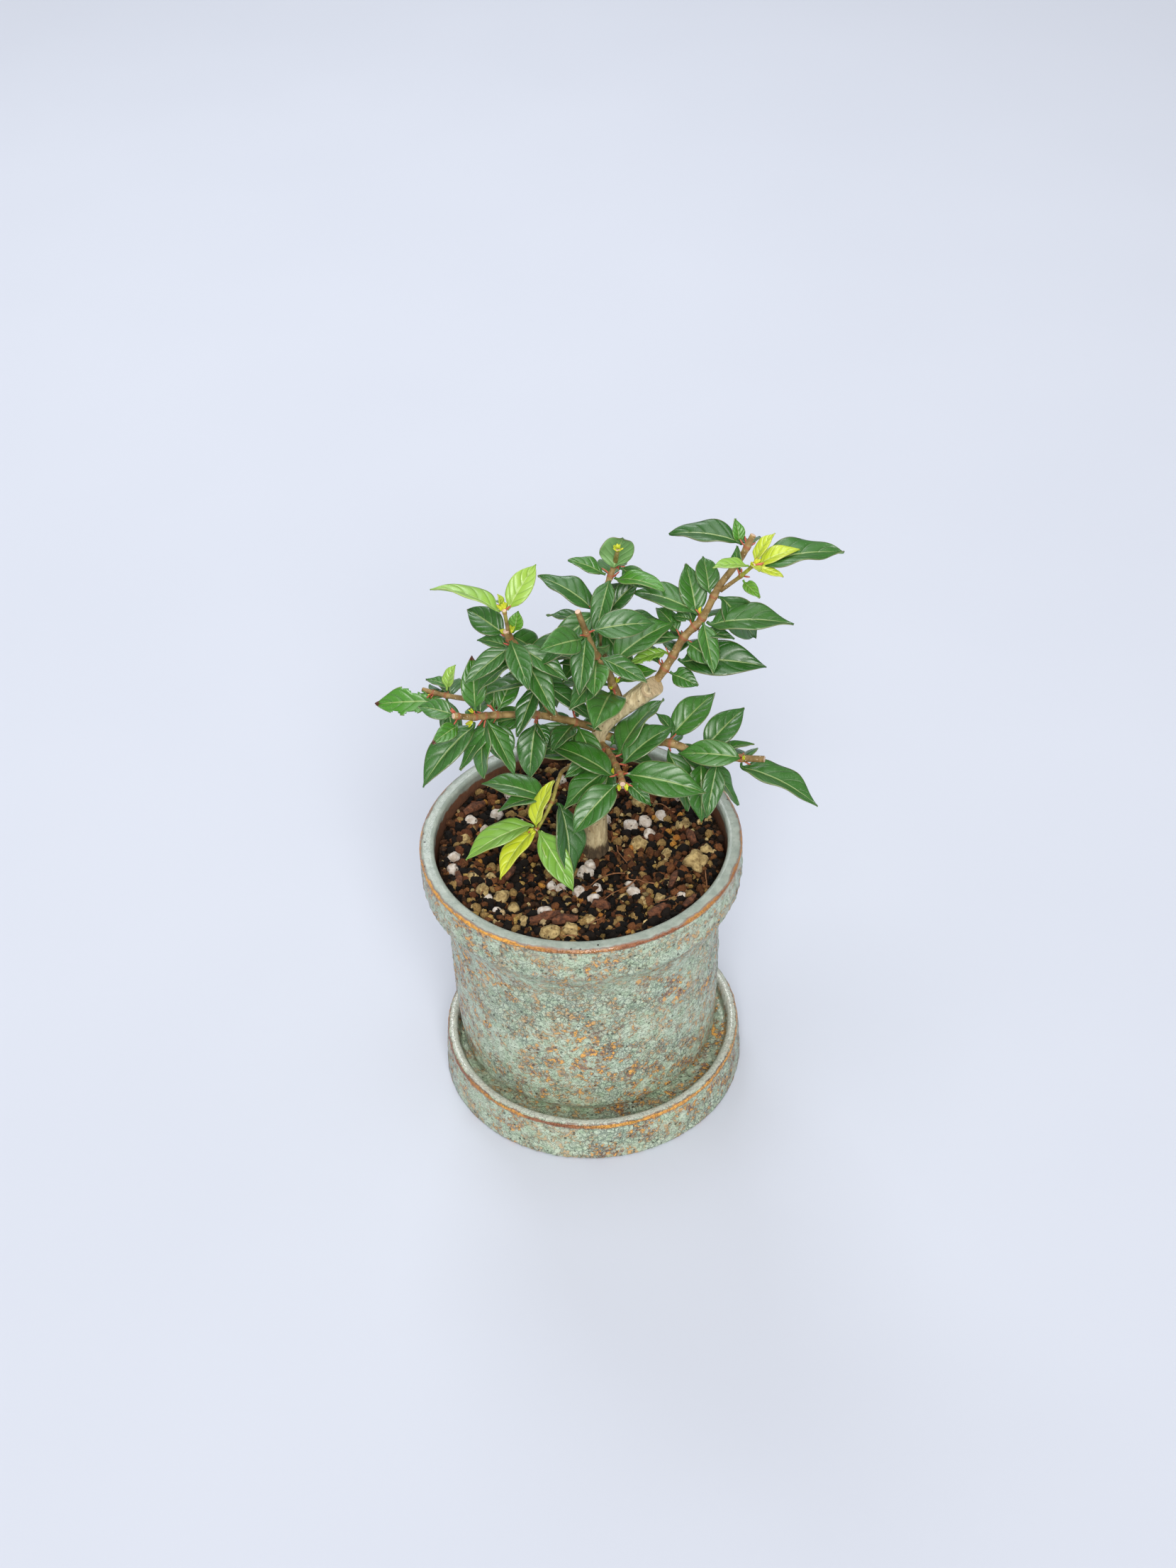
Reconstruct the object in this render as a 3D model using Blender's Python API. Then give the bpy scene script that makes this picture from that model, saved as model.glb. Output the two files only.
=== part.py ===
"""A small broad-leaved bonsai tree in a round glazed pot that stands in its saucer.

The origin is the centre of the saucer's underside, +Z is up and -Y is the tree's front.
Stems and leaves are placed from the trunk's foot, where the trunk meets the soil.
"""
import math

import bmesh
import bpy
from mathutils import Vector

MM = 0.001
CLEARANCE = 0.3 * MM

# Saucer: its play is how far the pot could slide each way from the middle
SAUCER_PLAY = 3.4 * MM
SAUCER_BATTER = 0.9 * MM
SAUCER_HEIGHT = 13.8 * MM
SAUCER_FLOOR = 4.5 * MM
SAUCER_LIP = 2.2 * MM
SAUCER_WALL_SPREAD = 1.2 * MM
SAUCER_CORNER = 1.4 * MM
SAUCER_ROUND = 0.7 * MM

# Pot: it stands off the saucer's middle, towards its back and a little left
POT_SHIFT_ANGLE = math.radians(116)
POT_SHIFT_LEAVES = 0.6 * MM
POT_HEIGHT = 78.0 * MM
RIM_RADIUS = 45.0 * MM
RIM_BAND = 12.0 * MM
RIM_ROUND = 1.0 * MM
LIP_WIDTH = 4.1 * MM
UNDERCUT = 6.0 * MM
UNDERCUT_IN = 4.4 * MM
BODY_IN = 6.2 * MM
BASE_IN = 7.6 * MM
FOOT_IN = 11.0 * MM
BASE_EDGE_HEIGHT = 8.0 * MM
FOOT_HEIGHT = 2.5 * MM
FOOT_WIDTH = 4.5 * MM
POT_WALL = 4.4 * MM
POT_FLOOR = 5.0 * MM
DRAIN_RADIUS = 6.0 * MM

# Soil
SOIL_BELOW_RIM = 8.0 * MM
SOIL_CROWN = 0.6 * MM

ROUND_STEPS = 40

# Worked out from the sizes above
POT_BASE_RADIUS = RIM_RADIUS - BASE_IN
SAUCER_INNER_RADIUS = POT_BASE_RADIUS + SAUCER_PLAY
SAUCER_TOP_RADIUS = SAUCER_INNER_RADIUS + SAUCER_LIP
SAUCER_FOOT_RADIUS = SAUCER_TOP_RADIUS + SAUCER_BATTER
POT_SHIFT = SAUCER_PLAY - POT_SHIFT_LEAVES
POT_STANDS_AT = (POT_SHIFT * math.cos(POT_SHIFT_ANGLE), POT_SHIFT * math.sin(POT_SHIFT_ANGLE))

# Trunk: where its foot stands from the pot's axis, then points and radii from the foot, in mm
TRUNK_STANDS_AT = (3.7 * MM, 3.0 * MM)
TRUNK_GIRTH = 1.0
TRUNK_SIDES = 12
TRUNK = (
    (-0.5, 0, -11.5, 3.8),
    (0, 0, 0.5, 3.7),
    (1, 0.5, 14.5, 2.9),
    (1.5, 0, 27.5, 2.3),
    (2, -0.5, 40.5, 2.1),
    (4.5, -0.5, 46.5, 2.1),
    (10, -0.5, 52.5, 2.5),
    (15.5, -1, 57.5, 2.7),
    (18, -2, 60, 2.6),
)

# Twigs: name, what it grows from, radius at its start and end, then points from the foot, in mm
TWIG_SIDES = 8
TWIGS = (
    ("leader", "trunk", 1.3, 0.9,
     ((17, -0.5, 58), (22, 1.5, 65.5), (25.5, 3, 71.5), (30.5, 4.5, 76.5), (35, 6.5, 85),
      (40.5, 8.5, 92), (44, 10, 98.5))),
    ("upper_right_twig", "leader", 0.6, 0.5,
     ((36, 6, 84.5), (40.5, 4, 90), (43.5, 1, 95.5))),
    ("back_twig", "trunk", 1.1, 0.7,
     ((8.5, 0.5, 52.5), (4.5, 7, 63.5), (4, 12, 75), (7, 16, 83), (10, 19, 89))),
    ("centre_twig", "trunk", 1.2, 0.8,
     ((8.5, -1, 53), (6.5, -3.5, 61), (5, -5, 69), (2.5, -6, 73.5), (0, -8, 82.5), (-2, -10, 91))),
    ("left_branch", "trunk", 1.4, 1,
     ((3, -0.5, 44), (-5.5, -2, 49), (-14, -4, 53), (-24.5, -7, 56), (-30, -10, 58),
      (-35.5, -13, 61))),
    ("centre_left_twig", "left_branch", 1.2, 0.9,
     ((-9, -2, 50.5), (-11.5, -4, 57.5), (-12.5, -5.5, 64.5), (-15, -7, 72.5), (-19, -8, 80.5),
      (-20.5, -9, 85))),
    ("upper_left_twig", "centre_left_twig", 0.6, 0.5,
     ((-20, -8.5, 84), (-20.5, -11, 93))),
    ("far_left_twig", "left_branch", 1, 0.8,
     ((-18, -4.5, 52.5), (-22, 0, 51.5), (-29.5, 4, 52), (-38.5, 9, 50.5), (-45, 12, 50.5))),
    ("front_twig", "trunk", 1, 0.8,
     ((2.5, -1, 40.5), (4.5, -6, 41.5), (6, -12, 42.5), (7.5, -18, 43), (8, -22, 43))),
    ("right_branch", "trunk", 1.3, 0.9,
     ((3, -0.5, 42.5), (11, -1, 40), (21.5, -4, 41.5), (30, -8, 40), (40, -12, 42), (46, -14, 43))),
    ("front_left_twig", "trunk", 0.9, 0.6,
     ((1.5, -0.5, 33), (-7, -6, 35.5), (-9, -10, 35), (-11, -13, 30), (-14, -16, 25.5),
      (-15.5, -18, 24.5))),
)

# A node ring goes round the twig where leaves grow
RING_CLEARANCE = 0.4 * MM
RING_WALL = 0.7 * MM
RING_HEIGHT = 1.4 * MM
RING_SIDES = 8

# Leaf blade
LEAF_THICKNESS = 0.6 * MM
PETIOLE_WIDTH = 0.8 * MM
PETIOLE_BEND = 0.5 * MM
BLADE_FOLD = math.radians(15)
BLADE_ARCH = 0.08
BLADE_SHARE = ((0.14, 0.12), (0.30, 0.86), (0.52, 1.0), (0.80, 0.46))

# Leaves: node, its twig, the place along the twig's points, the leaf colour, then for each leaf
# its azimuth, rise, length, width and roll, in degrees and mm
LEAVES = (
    ("leaves_top_right_1", "leader", 0.7, "leaf_green", ((-30, -15, 10, 5, 30), (135, 0, 15, 5.5, 10))),
    ("leaves_top_right_2", "leader", 1.2, "leaf_green",
     ((-15, 0, 25, 9.5, 20), (-165, 0, 12, 4.5, -10), (75, -30, 20, 8, -10))),
    ("leaves_top_right_3", "leader", 2, "leaf_green",
     ((-45, -15, 12, 5.5, 30), (125, 15, 12, 4.5, 0), (90, -40, 17, 6.5, 0))),
    ("leaves_top_right_4", "leader", 2.6, "leaf_green", ((-20, -10, 11, 4, 0), (145, 5, 7, 2.5, -30))),
    ("leaves_top_right_5", "leader", 3, "leaf_green",
     ((-10, 0, 24, 9, 10), (150, 5, 21, 8, 0), (105, 30, 16, 6.5, 0), (80, -35, 18, 7, 10))),
    ("leaves_top_right_6", "leader", 3.7, "leaf_green", ((15, -55, 20, 8, 70), (100, 20, 13, 5.5, 0))),
    ("leaves_top_right_7", "leader", 5.5, "leaf_green",
     ((160, 0, 21, 8, 0), (115, 40, 8, 3, 0), (80, -30, 14, 5.5, 0))),
    ("leaves_upper_right_1", "upper_right_twig", 1, "leaf_young",
     ((95, 40, 8, 3, -50), (-55, -20, 8, 3, 20))),
    ("leaves_upper_right_2", "upper_right_twig", 1.9, "leaf_young",
     ((10, 0, 24, 9, 0), (40, 40, 10, 3.5, -10), (15, 10, 13, 5, 0), (-165, 10, 11, 4, 0))),
    ("leaves_back_1", "back_twig", 1.6, "leaf_green",
     ((10, 0, 16, 6, 0), (155, 0, 16, 6, 10), (80, -20, 14, 6, 0))),
    ("leaves_back_2", "back_twig", 2, "leaf_green",
     ((145, 10, 20, 7.5, 0), (25, 25, 13, 5, 20), (95, -30, 18, 7, 10))),
    ("leaves_back_3", "back_twig", 3, "leaf_green",
     ((-35, 5, 17, 6.5, 0), (170, 20, 12, 4.5, -10), (85, -25, 17, 7, 0))),
    ("leaves_back_4", "back_twig", 3.4, "leaf_green", ((-80, 55, 21, 8, -10), (-25, -25, 11, 4.5, 40))),
    ("leaves_centre_1", "centre_twig", 1.1, "leaf_green", ((-105, 5, 21, 9, -10), (25, 0, 13, 5, 10))),
    ("leaves_centre_2", "centre_twig", 2, "leaf_green", ((30, 15, 22, 8.5, 0), (170, 0, 13, 5, 0))),
    ("leaves_centre_3", "centre_twig", 3, "leaf_green",
     ((-95, -15, 13, 6.5, 0), (170, 0, 15, 5.5, 0), (85, -40, 14, 6, 0))),
    ("leaves_centre_4", "centre_twig", 4, "leaf_green", ((-140, 10, 16, 7, -40), (10, 0, 18, 7, 30))),
    ("leaves_upper_left_1", "upper_left_twig", 0.9, "leaf_young",
     ((155, 5, 21, 8, 20), (50, 30, 15, 5.5, 20), (125, 60, 5, 2, 20), (85, -30, 12, 5, 0))),
    ("leaves_centre_left_1", "centre_left_twig", 2.2, "leaf_green",
     ((35, -65, 13, 5, 70), (180, -20, 18, 7, 10))),
    ("leaves_centre_left_2", "centre_left_twig", 3.4, "leaf_green",
     ((-155, -30, 16, 6, 10), (165, -10, 11, 4, 0), (90, -40, 14, 6, -10))),
    ("leaves_centre_left_3", "centre_left_twig", 3.9, "leaf_green",
     ((60, -50, 20, 7.5, 60), (165, 0, 10, 4, -10), (95, -40, 17, 7, 0))),
    ("leaves_centre_left_4", "centre_left_twig", 4.5, "leaf_green",
     ((135, 5, 15, 6.5, -30), (55, 50, 7, 3.5, 20))),
    ("leaves_left_1", "left_branch", 0.8, "leaf_green",
     ((95, 40, 8, 3, 20), (35, 10, 6, 2.5, 30), (-105, -40, 6, 3, 0), (155, 0, 8, 3, 0),
      (60, 55, 11, 4, -20))),
    ("leaves_left_2", "left_branch", 2, "leaf_green",
     ((-105, -55, 17, 7, 0), (-70, -30, 9, 3.5, -20), (85, -40, 16, 6.5, 0))),
    ("leaves_left_3", "left_branch", 3, "leaf_green", ((90, 10, 14, 6.5, 0), (-75, -60, 13, 6.5, 0))),
    ("leaves_left_4", "left_branch", 3.5, "leaf_green", ((-100, -65, 17, 6.5, 30), (95, -20, 17, 7, 0))),
    ("leaves_left_5", "left_branch", 4, "leaf_green",
     ((90, 55, 16, 6, 0), (-140, -35, 23, 8.5, 0), (70, -40, 15, 6, 0))),
    ("leaves_left_6", "left_branch", 4.8, "leaf_green", ((150, -5, 12, 5, -30), (-135, -20, 10, 4, -30))),
    ("leaves_far_left_1", "far_left_twig", 3, "leaf_yellowing",
     ((50, 60, 9, 3.5, 0), (135, 10, 8, 3, 0), (95, -25, 16, 6.5, 10))),
    ("leaves_far_left_2", "far_left_twig", 3.5, "leaf_yellowing",
     ((175, -15, 17, 7, -40), (80, -40, 15, 6, 0))),
    ("leaves_front_1", "front_twig", 1.0, "leaf_green", ((150, 0, 8, 3, -10), (50, 40, 5, 2, 30))),
    ("leaves_front_2", "front_twig", 1.7, "leaf_green", ((45, 20, 22, 8.5, -20), (170, -5, 22, 8, 10))),
    ("leaves_front_3", "front_twig", 2.3, "leaf_green", ((-155, -30, 18, 7, 0), (35, 10, 20, 7.5, 0))),
    ("leaves_front_4", "front_twig", 3, "leaf_green", ((150, 5, 22, 8, 0), (-10, -10, 23, 8.5, 30))),
    ("leaves_front_5", "front_twig", 3.7, "leaf_green",
     ((-145, -30, 19, 7.5, -20), (-30, -30, 10, 3.5, 30))),
    ("leaves_right_1", "right_branch", 2, "leaf_green",
     ((45, 20, 19, 7.5, 20), (-70, -55, 19, 7, -20), (120, 40, 9, 3.5, 20), (95, -40, 18, 7, 0))),
    ("leaves_right_2", "right_branch", 3, "leaf_green", ((45, 20, 18, 7, 20), (-95, -55, 18, 7, 0))),
    ("leaves_right_3", "right_branch", 3.4, "leaf_green", ((25, 0, 11, 4, -10), (95, -40, 16, 6.5, 0))),
    ("leaves_right_4", "right_branch", 4, "leaf_green",
     ((170, 0, 17, 6.5, -30), (-30, -20, 24, 9, -10), (80, -35, 15, 6, 0))),
    ("leaves_front_left_1", "front_left_twig", 3, "leaf_green",
     ((155, 0, 21, 8, 0), (-75, -50, 22, 8.5, -30), (180, -10, 15, 6, 10))),
    ("leaves_front_left_2", "front_left_twig", 4.8, "leaf_young",
     ((50, 55, 14, 5.5, -20), (-165, -15, 21, 8, 0), (-140, -35, 17, 6.5, 10),
      (-50, -50, 17, 6.5, 0))),
)

# Colour, roughness and coat of each material
FINISHES = {
    "glaze": ((0.33, 0.36, 0.29), 0.32, 0.5),
    "soil": ((0.05, 0.035, 0.025), 0.95, 0.0),
    "bark": ((0.36, 0.29, 0.21), 0.85, 0.0),
    "twig_bark": ((0.16, 0.14, 0.07), 0.7, 0.0),
    "leaf_green": ((0.05, 0.12, 0.03), 0.42, 0.1),
    "leaf_young": ((0.22, 0.36, 0.04), 0.45, 0.1),
    "leaf_yellowing": ((0.30, 0.28, 0.05), 0.5, 0.0),
}


def make_material(name):
    """A Principled material with the named finish."""
    colour, roughness, coat = FINISHES[name]
    material = bpy.data.materials.new(name)
    material.use_nodes = True
    shader = material.node_tree.nodes["Principled BSDF"]
    shader.inputs["Base Color"].default_value = (*colour, 1.0)
    shader.inputs["Roughness"].default_value = roughness
    shader.inputs["Metallic"].default_value = 0.0
    shader.inputs["Coat Weight"].default_value = coat
    material.diffuse_color = (*colour, 1.0)
    return material


def make_object(name, bm, material=None):
    """Turns a bmesh into an object of the scene, with its faces pointing out."""
    bmesh.ops.recalc_face_normals(bm, faces=bm.faces)
    mesh = bpy.data.meshes.new(name)
    bm.to_mesh(mesh)
    bm.free()
    obj = bpy.data.objects.new(name, mesh)
    bpy.context.scene.collection.objects.link(obj)
    if material:
        mesh.materials.append(material)
        mesh.shade_smooth()
        mesh.set_sharp_from_angle(angle=math.radians(35))
    return obj


def turned(name, profile, centre, material):
    """Spins a profile of (radius, height) points about a vertical axis into one closed body."""
    bm = bmesh.new()
    corners = [bm.verts.new((centre[0] + radius, centre[1], height)) for radius, height in profile]
    edges = [bm.edges.new(pair) for pair in zip(corners, corners[1:])]
    if profile[0][0] > 0:
        edges.append(bm.edges.new((corners[-1], corners[0])))
    bmesh.ops.spin(bm, geom=corners + edges, cent=(*centre, 0), axis=(0, 0, 1), angle=math.tau,
                   steps=ROUND_STEPS, use_merge=True)
    bmesh.ops.remove_doubles(bm, verts=bm.verts, dist=0.01 * MM)
    return make_object(name, bm, material)


def saucer_profile():
    """Half section of the saucer, from the underside's centre round to the floor's centre."""
    inner_foot = SAUCER_INNER_RADIUS - SAUCER_WALL_SPREAD
    return [
        (0, 0),
        (SAUCER_FOOT_RADIUS - SAUCER_ROUND, 0),
        (SAUCER_FOOT_RADIUS, SAUCER_ROUND),
        (SAUCER_TOP_RADIUS, SAUCER_HEIGHT - SAUCER_ROUND),
        (SAUCER_TOP_RADIUS - SAUCER_ROUND, SAUCER_HEIGHT),
        (SAUCER_INNER_RADIUS + SAUCER_ROUND / 2, SAUCER_HEIGHT),
        (SAUCER_INNER_RADIUS, SAUCER_HEIGHT - SAUCER_ROUND / 2),
        (inner_foot + SAUCER_WALL_SPREAD / 4, SAUCER_FLOOR + SAUCER_CORNER),
        (inner_foot - SAUCER_CORNER, SAUCER_FLOOR),
        (0, SAUCER_FLOOR),
    ]


def pot_heights():
    """The levels that the pot's outside and inside share."""
    foot = SAUCER_FLOOR + CLEARANCE
    rim = foot + POT_HEIGHT
    neck = rim - RIM_BAND - UNDERCUT
    floor = foot + FOOT_HEIGHT + POT_FLOOR
    return foot, floor, neck, rim


def pot_inside():
    """The pot's inner wall, from the floor up to the lip."""
    foot, floor, neck, rim = pot_heights()
    body = RIM_RADIUS - BODY_IN - POT_WALL
    corner = POT_WALL / 2
    return [
        (POT_BASE_RADIUS - POT_WALL - corner, floor),
        (POT_BASE_RADIUS - POT_WALL + 0.4 * MM, floor + 2 * corner),
        (body, neck - 2 * corner),
        (RIM_RADIUS - UNDERCUT_IN - POT_WALL - 0.5 * MM, neck - corner / 2),
        (RIM_RADIUS - LIP_WIDTH - RIM_ROUND / 2, neck + UNDERCUT),
        (RIM_RADIUS - LIP_WIDTH, rim - RIM_ROUND),
    ]


def pot_profile():
    """Closed half section of the pot, with its foot ring and its drain hole."""
    foot, floor, neck, rim = pot_heights()
    outside = [
        (RIM_RADIUS - FOOT_IN - FOOT_WIDTH, foot),
        (RIM_RADIUS - FOOT_IN, foot),
        (RIM_RADIUS - FOOT_IN + 0.6 * MM, foot + FOOT_HEIGHT + 1.0 * MM),
        (POT_BASE_RADIUS, foot + BASE_EDGE_HEIGHT),
        (RIM_RADIUS - BODY_IN - 0.3 * MM, foot + 0.35 * POT_HEIGHT),
        (RIM_RADIUS - BODY_IN, neck - UNDERCUT),
        (RIM_RADIUS - UNDERCUT_IN, neck),
        (RIM_RADIUS - RIM_ROUND / 2, neck + UNDERCUT),
        (RIM_RADIUS, neck + UNDERCUT + RIM_ROUND),
        (RIM_RADIUS, rim - RIM_ROUND),
        (RIM_RADIUS - RIM_ROUND, rim),
        (RIM_RADIUS - LIP_WIDTH + RIM_ROUND, rim),
    ]
    drain = [
        (DRAIN_RADIUS, floor),
        (DRAIN_RADIUS, foot + FOOT_HEIGHT),
        (RIM_RADIUS - FOOT_IN - FOOT_WIDTH, foot + FOOT_HEIGHT),
    ]
    return outside + pot_inside()[::-1] + drain


def soil_profile():
    """Half section of the soil, which fills the pot with a clearance to its wall and floor."""
    top = pot_heights()[3] - SOIL_BELOW_RIM
    inside = pot_inside()
    wall = [(radius - CLEARANCE, height) for radius, height in inside if height < top]
    wall[0] = (wall[0][0], wall[0][1] + CLEARANCE)
    below, above = inside[len(wall) - 1], inside[len(wall)]
    share = (top - below[1]) / (above[1] - below[1])
    edge = below[0] + share * (above[0] - below[0]) - CLEARANCE
    return [(0, wall[0][1])] + wall + [(edge, top - SOIL_CROWN), (edge / 2, top - SOIL_CROWN / 4), (0, top)]


def tree_point(x, y, z):
    """A point given in mm from the trunk's foot, in the frame of the whole."""
    level = pot_heights()[3] - SOIL_BELOW_RIM
    foot = Vector((POT_STANDS_AT[0] + TRUNK_STANDS_AT[0], POT_STANDS_AT[1] + TRUNK_STANDS_AT[1], level))
    return foot + Vector((x, y, z)) * MM


class Stem:
    """A woody stem: its points, its radius at each of them, and how many sides it has."""

    def __init__(self, points, radii, sides):
        self.points = points
        self.radii = radii
        self.sides = sides

    def tangent(self, index):
        before = self.points[max(index - 1, 0)]
        after = self.points[min(index + 1, len(self.points) - 1)]
        return (after - before).normalized()

    def at(self, place):
        """Point, direction and radius at a place, where 2.5 is midway from point 2 to point 3."""
        index = min(int(place), len(self.points) - 2)
        share = place - index
        point = self.points[index].lerp(self.points[index + 1], share)
        radius = self.radii[index] + share * (self.radii[index + 1] - self.radii[index])
        if share < 0.25:
            return point, self.tangent(index), radius
        if share > 0.75:
            return point, self.tangent(index + 1), radius
        return point, (self.points[index + 1] - self.points[index]).normalized(), radius

    def mesh(self, grown=0.0):
        """A tube along the stem, grown all round and at both ends by a margin."""
        bm = bmesh.new()
        across = self.tangent(0).orthogonal().normalized()
        last = len(self.points) - 1
        points = list(self.points)
        points[0] = points[0] - self.tangent(0) * grown
        points[last] = points[last] + self.tangent(last) * grown
        rings = []
        for index, (point, radius) in enumerate(zip(points, self.radii)):
            along = self.tangent(index)
            across = (across - along * across.dot(along)).normalized()
            beside = along.cross(across)
            ring = []
            for side in range(self.sides):
                turn = math.tau * side / self.sides
                out = across * math.cos(turn) + beside * math.sin(turn)
                ring.append(bm.verts.new(point + out * (radius + grown)))
            rings.append(ring)
        for lower, upper in zip(rings, rings[1:]):
            for side in range(self.sides):
                after = (side + 1) % self.sides
                bm.faces.new((lower[side], lower[after], upper[after], upper[side]))
        bm.faces.new(rings[0][::-1])
        bm.faces.new(rings[-1])
        return bm


def make_cutter(name, bm):
    """A hidden solid that only cuts others."""
    cutter = make_object("cutter_" + name, bm)
    cutter.hide_render = True
    cutter.display_type = "WIRE"
    return cutter


def cut(obj, cutter):
    """Takes a cutter away from an object."""
    boolean = obj.modifiers.new("cut_" + cutter.name, "BOOLEAN")
    boolean.operation = "DIFFERENCE"
    boolean.solver = "EXACT"
    boolean.object = cutter


def make_stems(bark, twig_bark):
    """The trunk and the twigs, each twig cut clear of the stem that it grows from."""
    trunk_points = [tree_point(*row[:3]) for row in TRUNK]
    trunk = Stem(trunk_points, [row[3] * TRUNK_GIRTH * MM for row in TRUNK], TRUNK_SIDES)
    stems = {"trunk": trunk}
    make_object("trunk", trunk.mesh(), bark)
    cutters = {"trunk": make_cutter("trunk", trunk.mesh(CLEARANCE))}
    for name, parent, start, end, rows in TWIGS:
        last = len(rows) - 1
        radii = [(start + (end - start) * index / last) * MM for index in range(last + 1)]
        stems[name] = Stem([tree_point(*row) for row in rows], radii, TWIG_SIDES)
        twig = make_object(name, stems[name].mesh(), twig_bark)
        cut(twig, cutters[parent])
        cutters[name] = make_cutter(name, stems[name].mesh(CLEARANCE))
    return stems, cutters


def node_ring(bm, centre, along, radius):
    """A short ring round a twig, and its outer faces."""
    inner = (radius + RING_CLEARANCE) / math.cos(math.pi / RING_SIDES)
    outer = inner + RING_WALL
    across = along.orthogonal().normalized()
    half = along * RING_HEIGHT / 2
    corners = [bm.verts.new(centre + across * reach + rise)
               for reach, rise in ((inner, -half), (outer, -half), (outer, half), (inner, half))]
    edges = [bm.edges.new((corners[k], corners[(k + 1) % 4])) for k in range(4)]
    bmesh.ops.spin(bm, geom=corners + edges, cent=centre, axis=along, angle=math.tau,
                   steps=RING_SIDES, use_merge=True)
    bmesh.ops.remove_doubles(bm, verts=bm.verts, dist=0.01 * MM)
    bmesh.ops.recalc_face_normals(bm, faces=bm.faces)
    middle = (inner + outer) / 2
    reach = [((face.calc_center_median() - centre), face) for face in bm.faces]
    return outer, [face for offset, face in reach
                   if abs(offset.dot(along)) < RING_HEIGHT / 4 and offset.length > middle * 0.95]


def leaf_axes(azimuth, rise, roll):
    """A leaf's own directions: along it, to its left and out of its upper face."""
    turn, lift, tilt = math.radians(azimuth), math.radians(rise), math.radians(roll)
    along = Vector((math.cos(lift) * math.cos(turn), math.cos(lift) * math.sin(turn), math.sin(lift)))
    level = Vector((-math.sin(turn), math.cos(turn), 0))
    up = along.cross(level)
    left = level * math.cos(tilt) + up * math.sin(tilt)
    return along, left, up * math.cos(tilt) - level * math.sin(tilt)


def leaf_sections(root, tip, out, left, up, width):
    """Four-cornered sections of a leaf: the bend of its stalk, then its folded, arched blade."""
    chord = tip - root
    bend = (out + chord.normalized()).normalized()
    side = (left - bend * left.dot(bend)).normalized()
    over = bend.cross(side)
    stalk = PETIOLE_WIDTH / 2
    sections = [[root + side * stalk, root + over * stalk, root - side * stalk, root - over * stalk]]
    half_thick = LEAF_THICKNESS / 2
    for place, share in BLADE_SHARE:
        middle = root + chord * place + up * BLADE_ARCH * chord.length * 4 * place * (1 - place)
        reach = max(share * width / 2, stalk)
        fold = BLADE_FOLD if reach > stalk else 0
        lift = up * reach * math.sin(fold)
        spread = left * reach * math.cos(fold)
        sections.append([middle + spread + lift, middle + up * half_thick,
                         middle - spread + lift, middle - up * half_thick])
    return sections


def grow_leaf(bm, face, sections, tip):
    """Extrudes a leaf out of a face of its node ring, section by section, to a pointed tip."""
    shift = None
    for section in sections:
        face = bmesh.ops.extrude_discrete_faces(bm, faces=[face])["faces"][0]
        corners = [loop.vert for loop in face.loops]
        if shift is None:
            spans = [sum((corner.co - section[(k + turn) % 4]).length for k, corner in enumerate(corners))
                     for turn in range(4)]
            shift = spans.index(min(spans))
        for k, corner in enumerate(corners):
            corner.co = section[(k + shift) % 4]
    bmesh.ops.poke(bm, faces=[face])["verts"][0].co = tip


def make_leaves(stems, materials):
    """Every group of leaves: a node ring round the twig, with a leaf drawn out of it for each row."""
    for name, twig, place, colour, rows in LEAVES:
        centre, along, radius = stems[twig].at(place)
        bm = bmesh.new()
        outer, faces = node_ring(bm, centre, along, radius)
        for azimuth, rise, length, width, roll in rows:
            heading, left, up = leaf_axes(azimuth, rise, roll)
            sideways = heading - along * heading.dot(along)
            out = (sideways if sideways.length > 0.05 else left).normalized()
            face = max(faces, key=lambda candidate: candidate.normal.dot(out))
            faces.remove(face)
            root = centre + out * (outer + PETIOLE_BEND)
            tip = centre + heading * length * MM
            sections = leaf_sections(root, tip, out, left, up, width * MM)
            grow_leaf(bm, face, sections, tip)
        bmesh.ops.remove_doubles(bm, verts=bm.verts, dist=0.001 * MM)
        make_object(name, bm, materials[colour])


def build():
    """Makes the whole plant in its pot and saucer."""
    for obj in list(bpy.data.objects):
        bpy.data.objects.remove(obj)
    materials = {name: make_material(name) for name in FINISHES}
    turned("saucer", saucer_profile(), (0, 0), materials["glaze"])
    turned("pot", pot_profile(), POT_STANDS_AT, materials["glaze"])
    soil = turned("soil", soil_profile(), POT_STANDS_AT, materials["soil"])
    stems, cutters = make_stems(materials["bark"], materials["twig_bark"])
    cut(soil, cutters["trunk"])
    make_leaves(stems, materials)


build()
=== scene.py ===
"""A little bonsai tree in a glazed pot on its saucer: its looks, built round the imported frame."""

import math
import random

import bmesh
import bpy
from mathutils import Matrix, Vector, noise


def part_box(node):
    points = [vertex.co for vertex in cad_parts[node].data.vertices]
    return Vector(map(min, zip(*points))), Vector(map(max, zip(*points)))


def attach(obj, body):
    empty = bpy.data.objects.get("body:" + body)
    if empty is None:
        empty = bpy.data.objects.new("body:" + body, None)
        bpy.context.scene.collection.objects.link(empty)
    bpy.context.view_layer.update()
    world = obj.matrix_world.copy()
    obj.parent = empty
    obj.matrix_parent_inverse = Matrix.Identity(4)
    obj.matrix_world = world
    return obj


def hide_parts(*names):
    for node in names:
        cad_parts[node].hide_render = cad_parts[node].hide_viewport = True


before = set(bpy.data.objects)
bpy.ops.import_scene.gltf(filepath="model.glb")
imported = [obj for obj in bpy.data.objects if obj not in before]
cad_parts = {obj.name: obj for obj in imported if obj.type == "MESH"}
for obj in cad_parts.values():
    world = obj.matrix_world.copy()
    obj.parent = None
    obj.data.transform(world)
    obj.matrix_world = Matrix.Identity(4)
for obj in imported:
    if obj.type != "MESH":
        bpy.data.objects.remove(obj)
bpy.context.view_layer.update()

MM = 0.001
UP = Vector((0, 0, 1))

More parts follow.
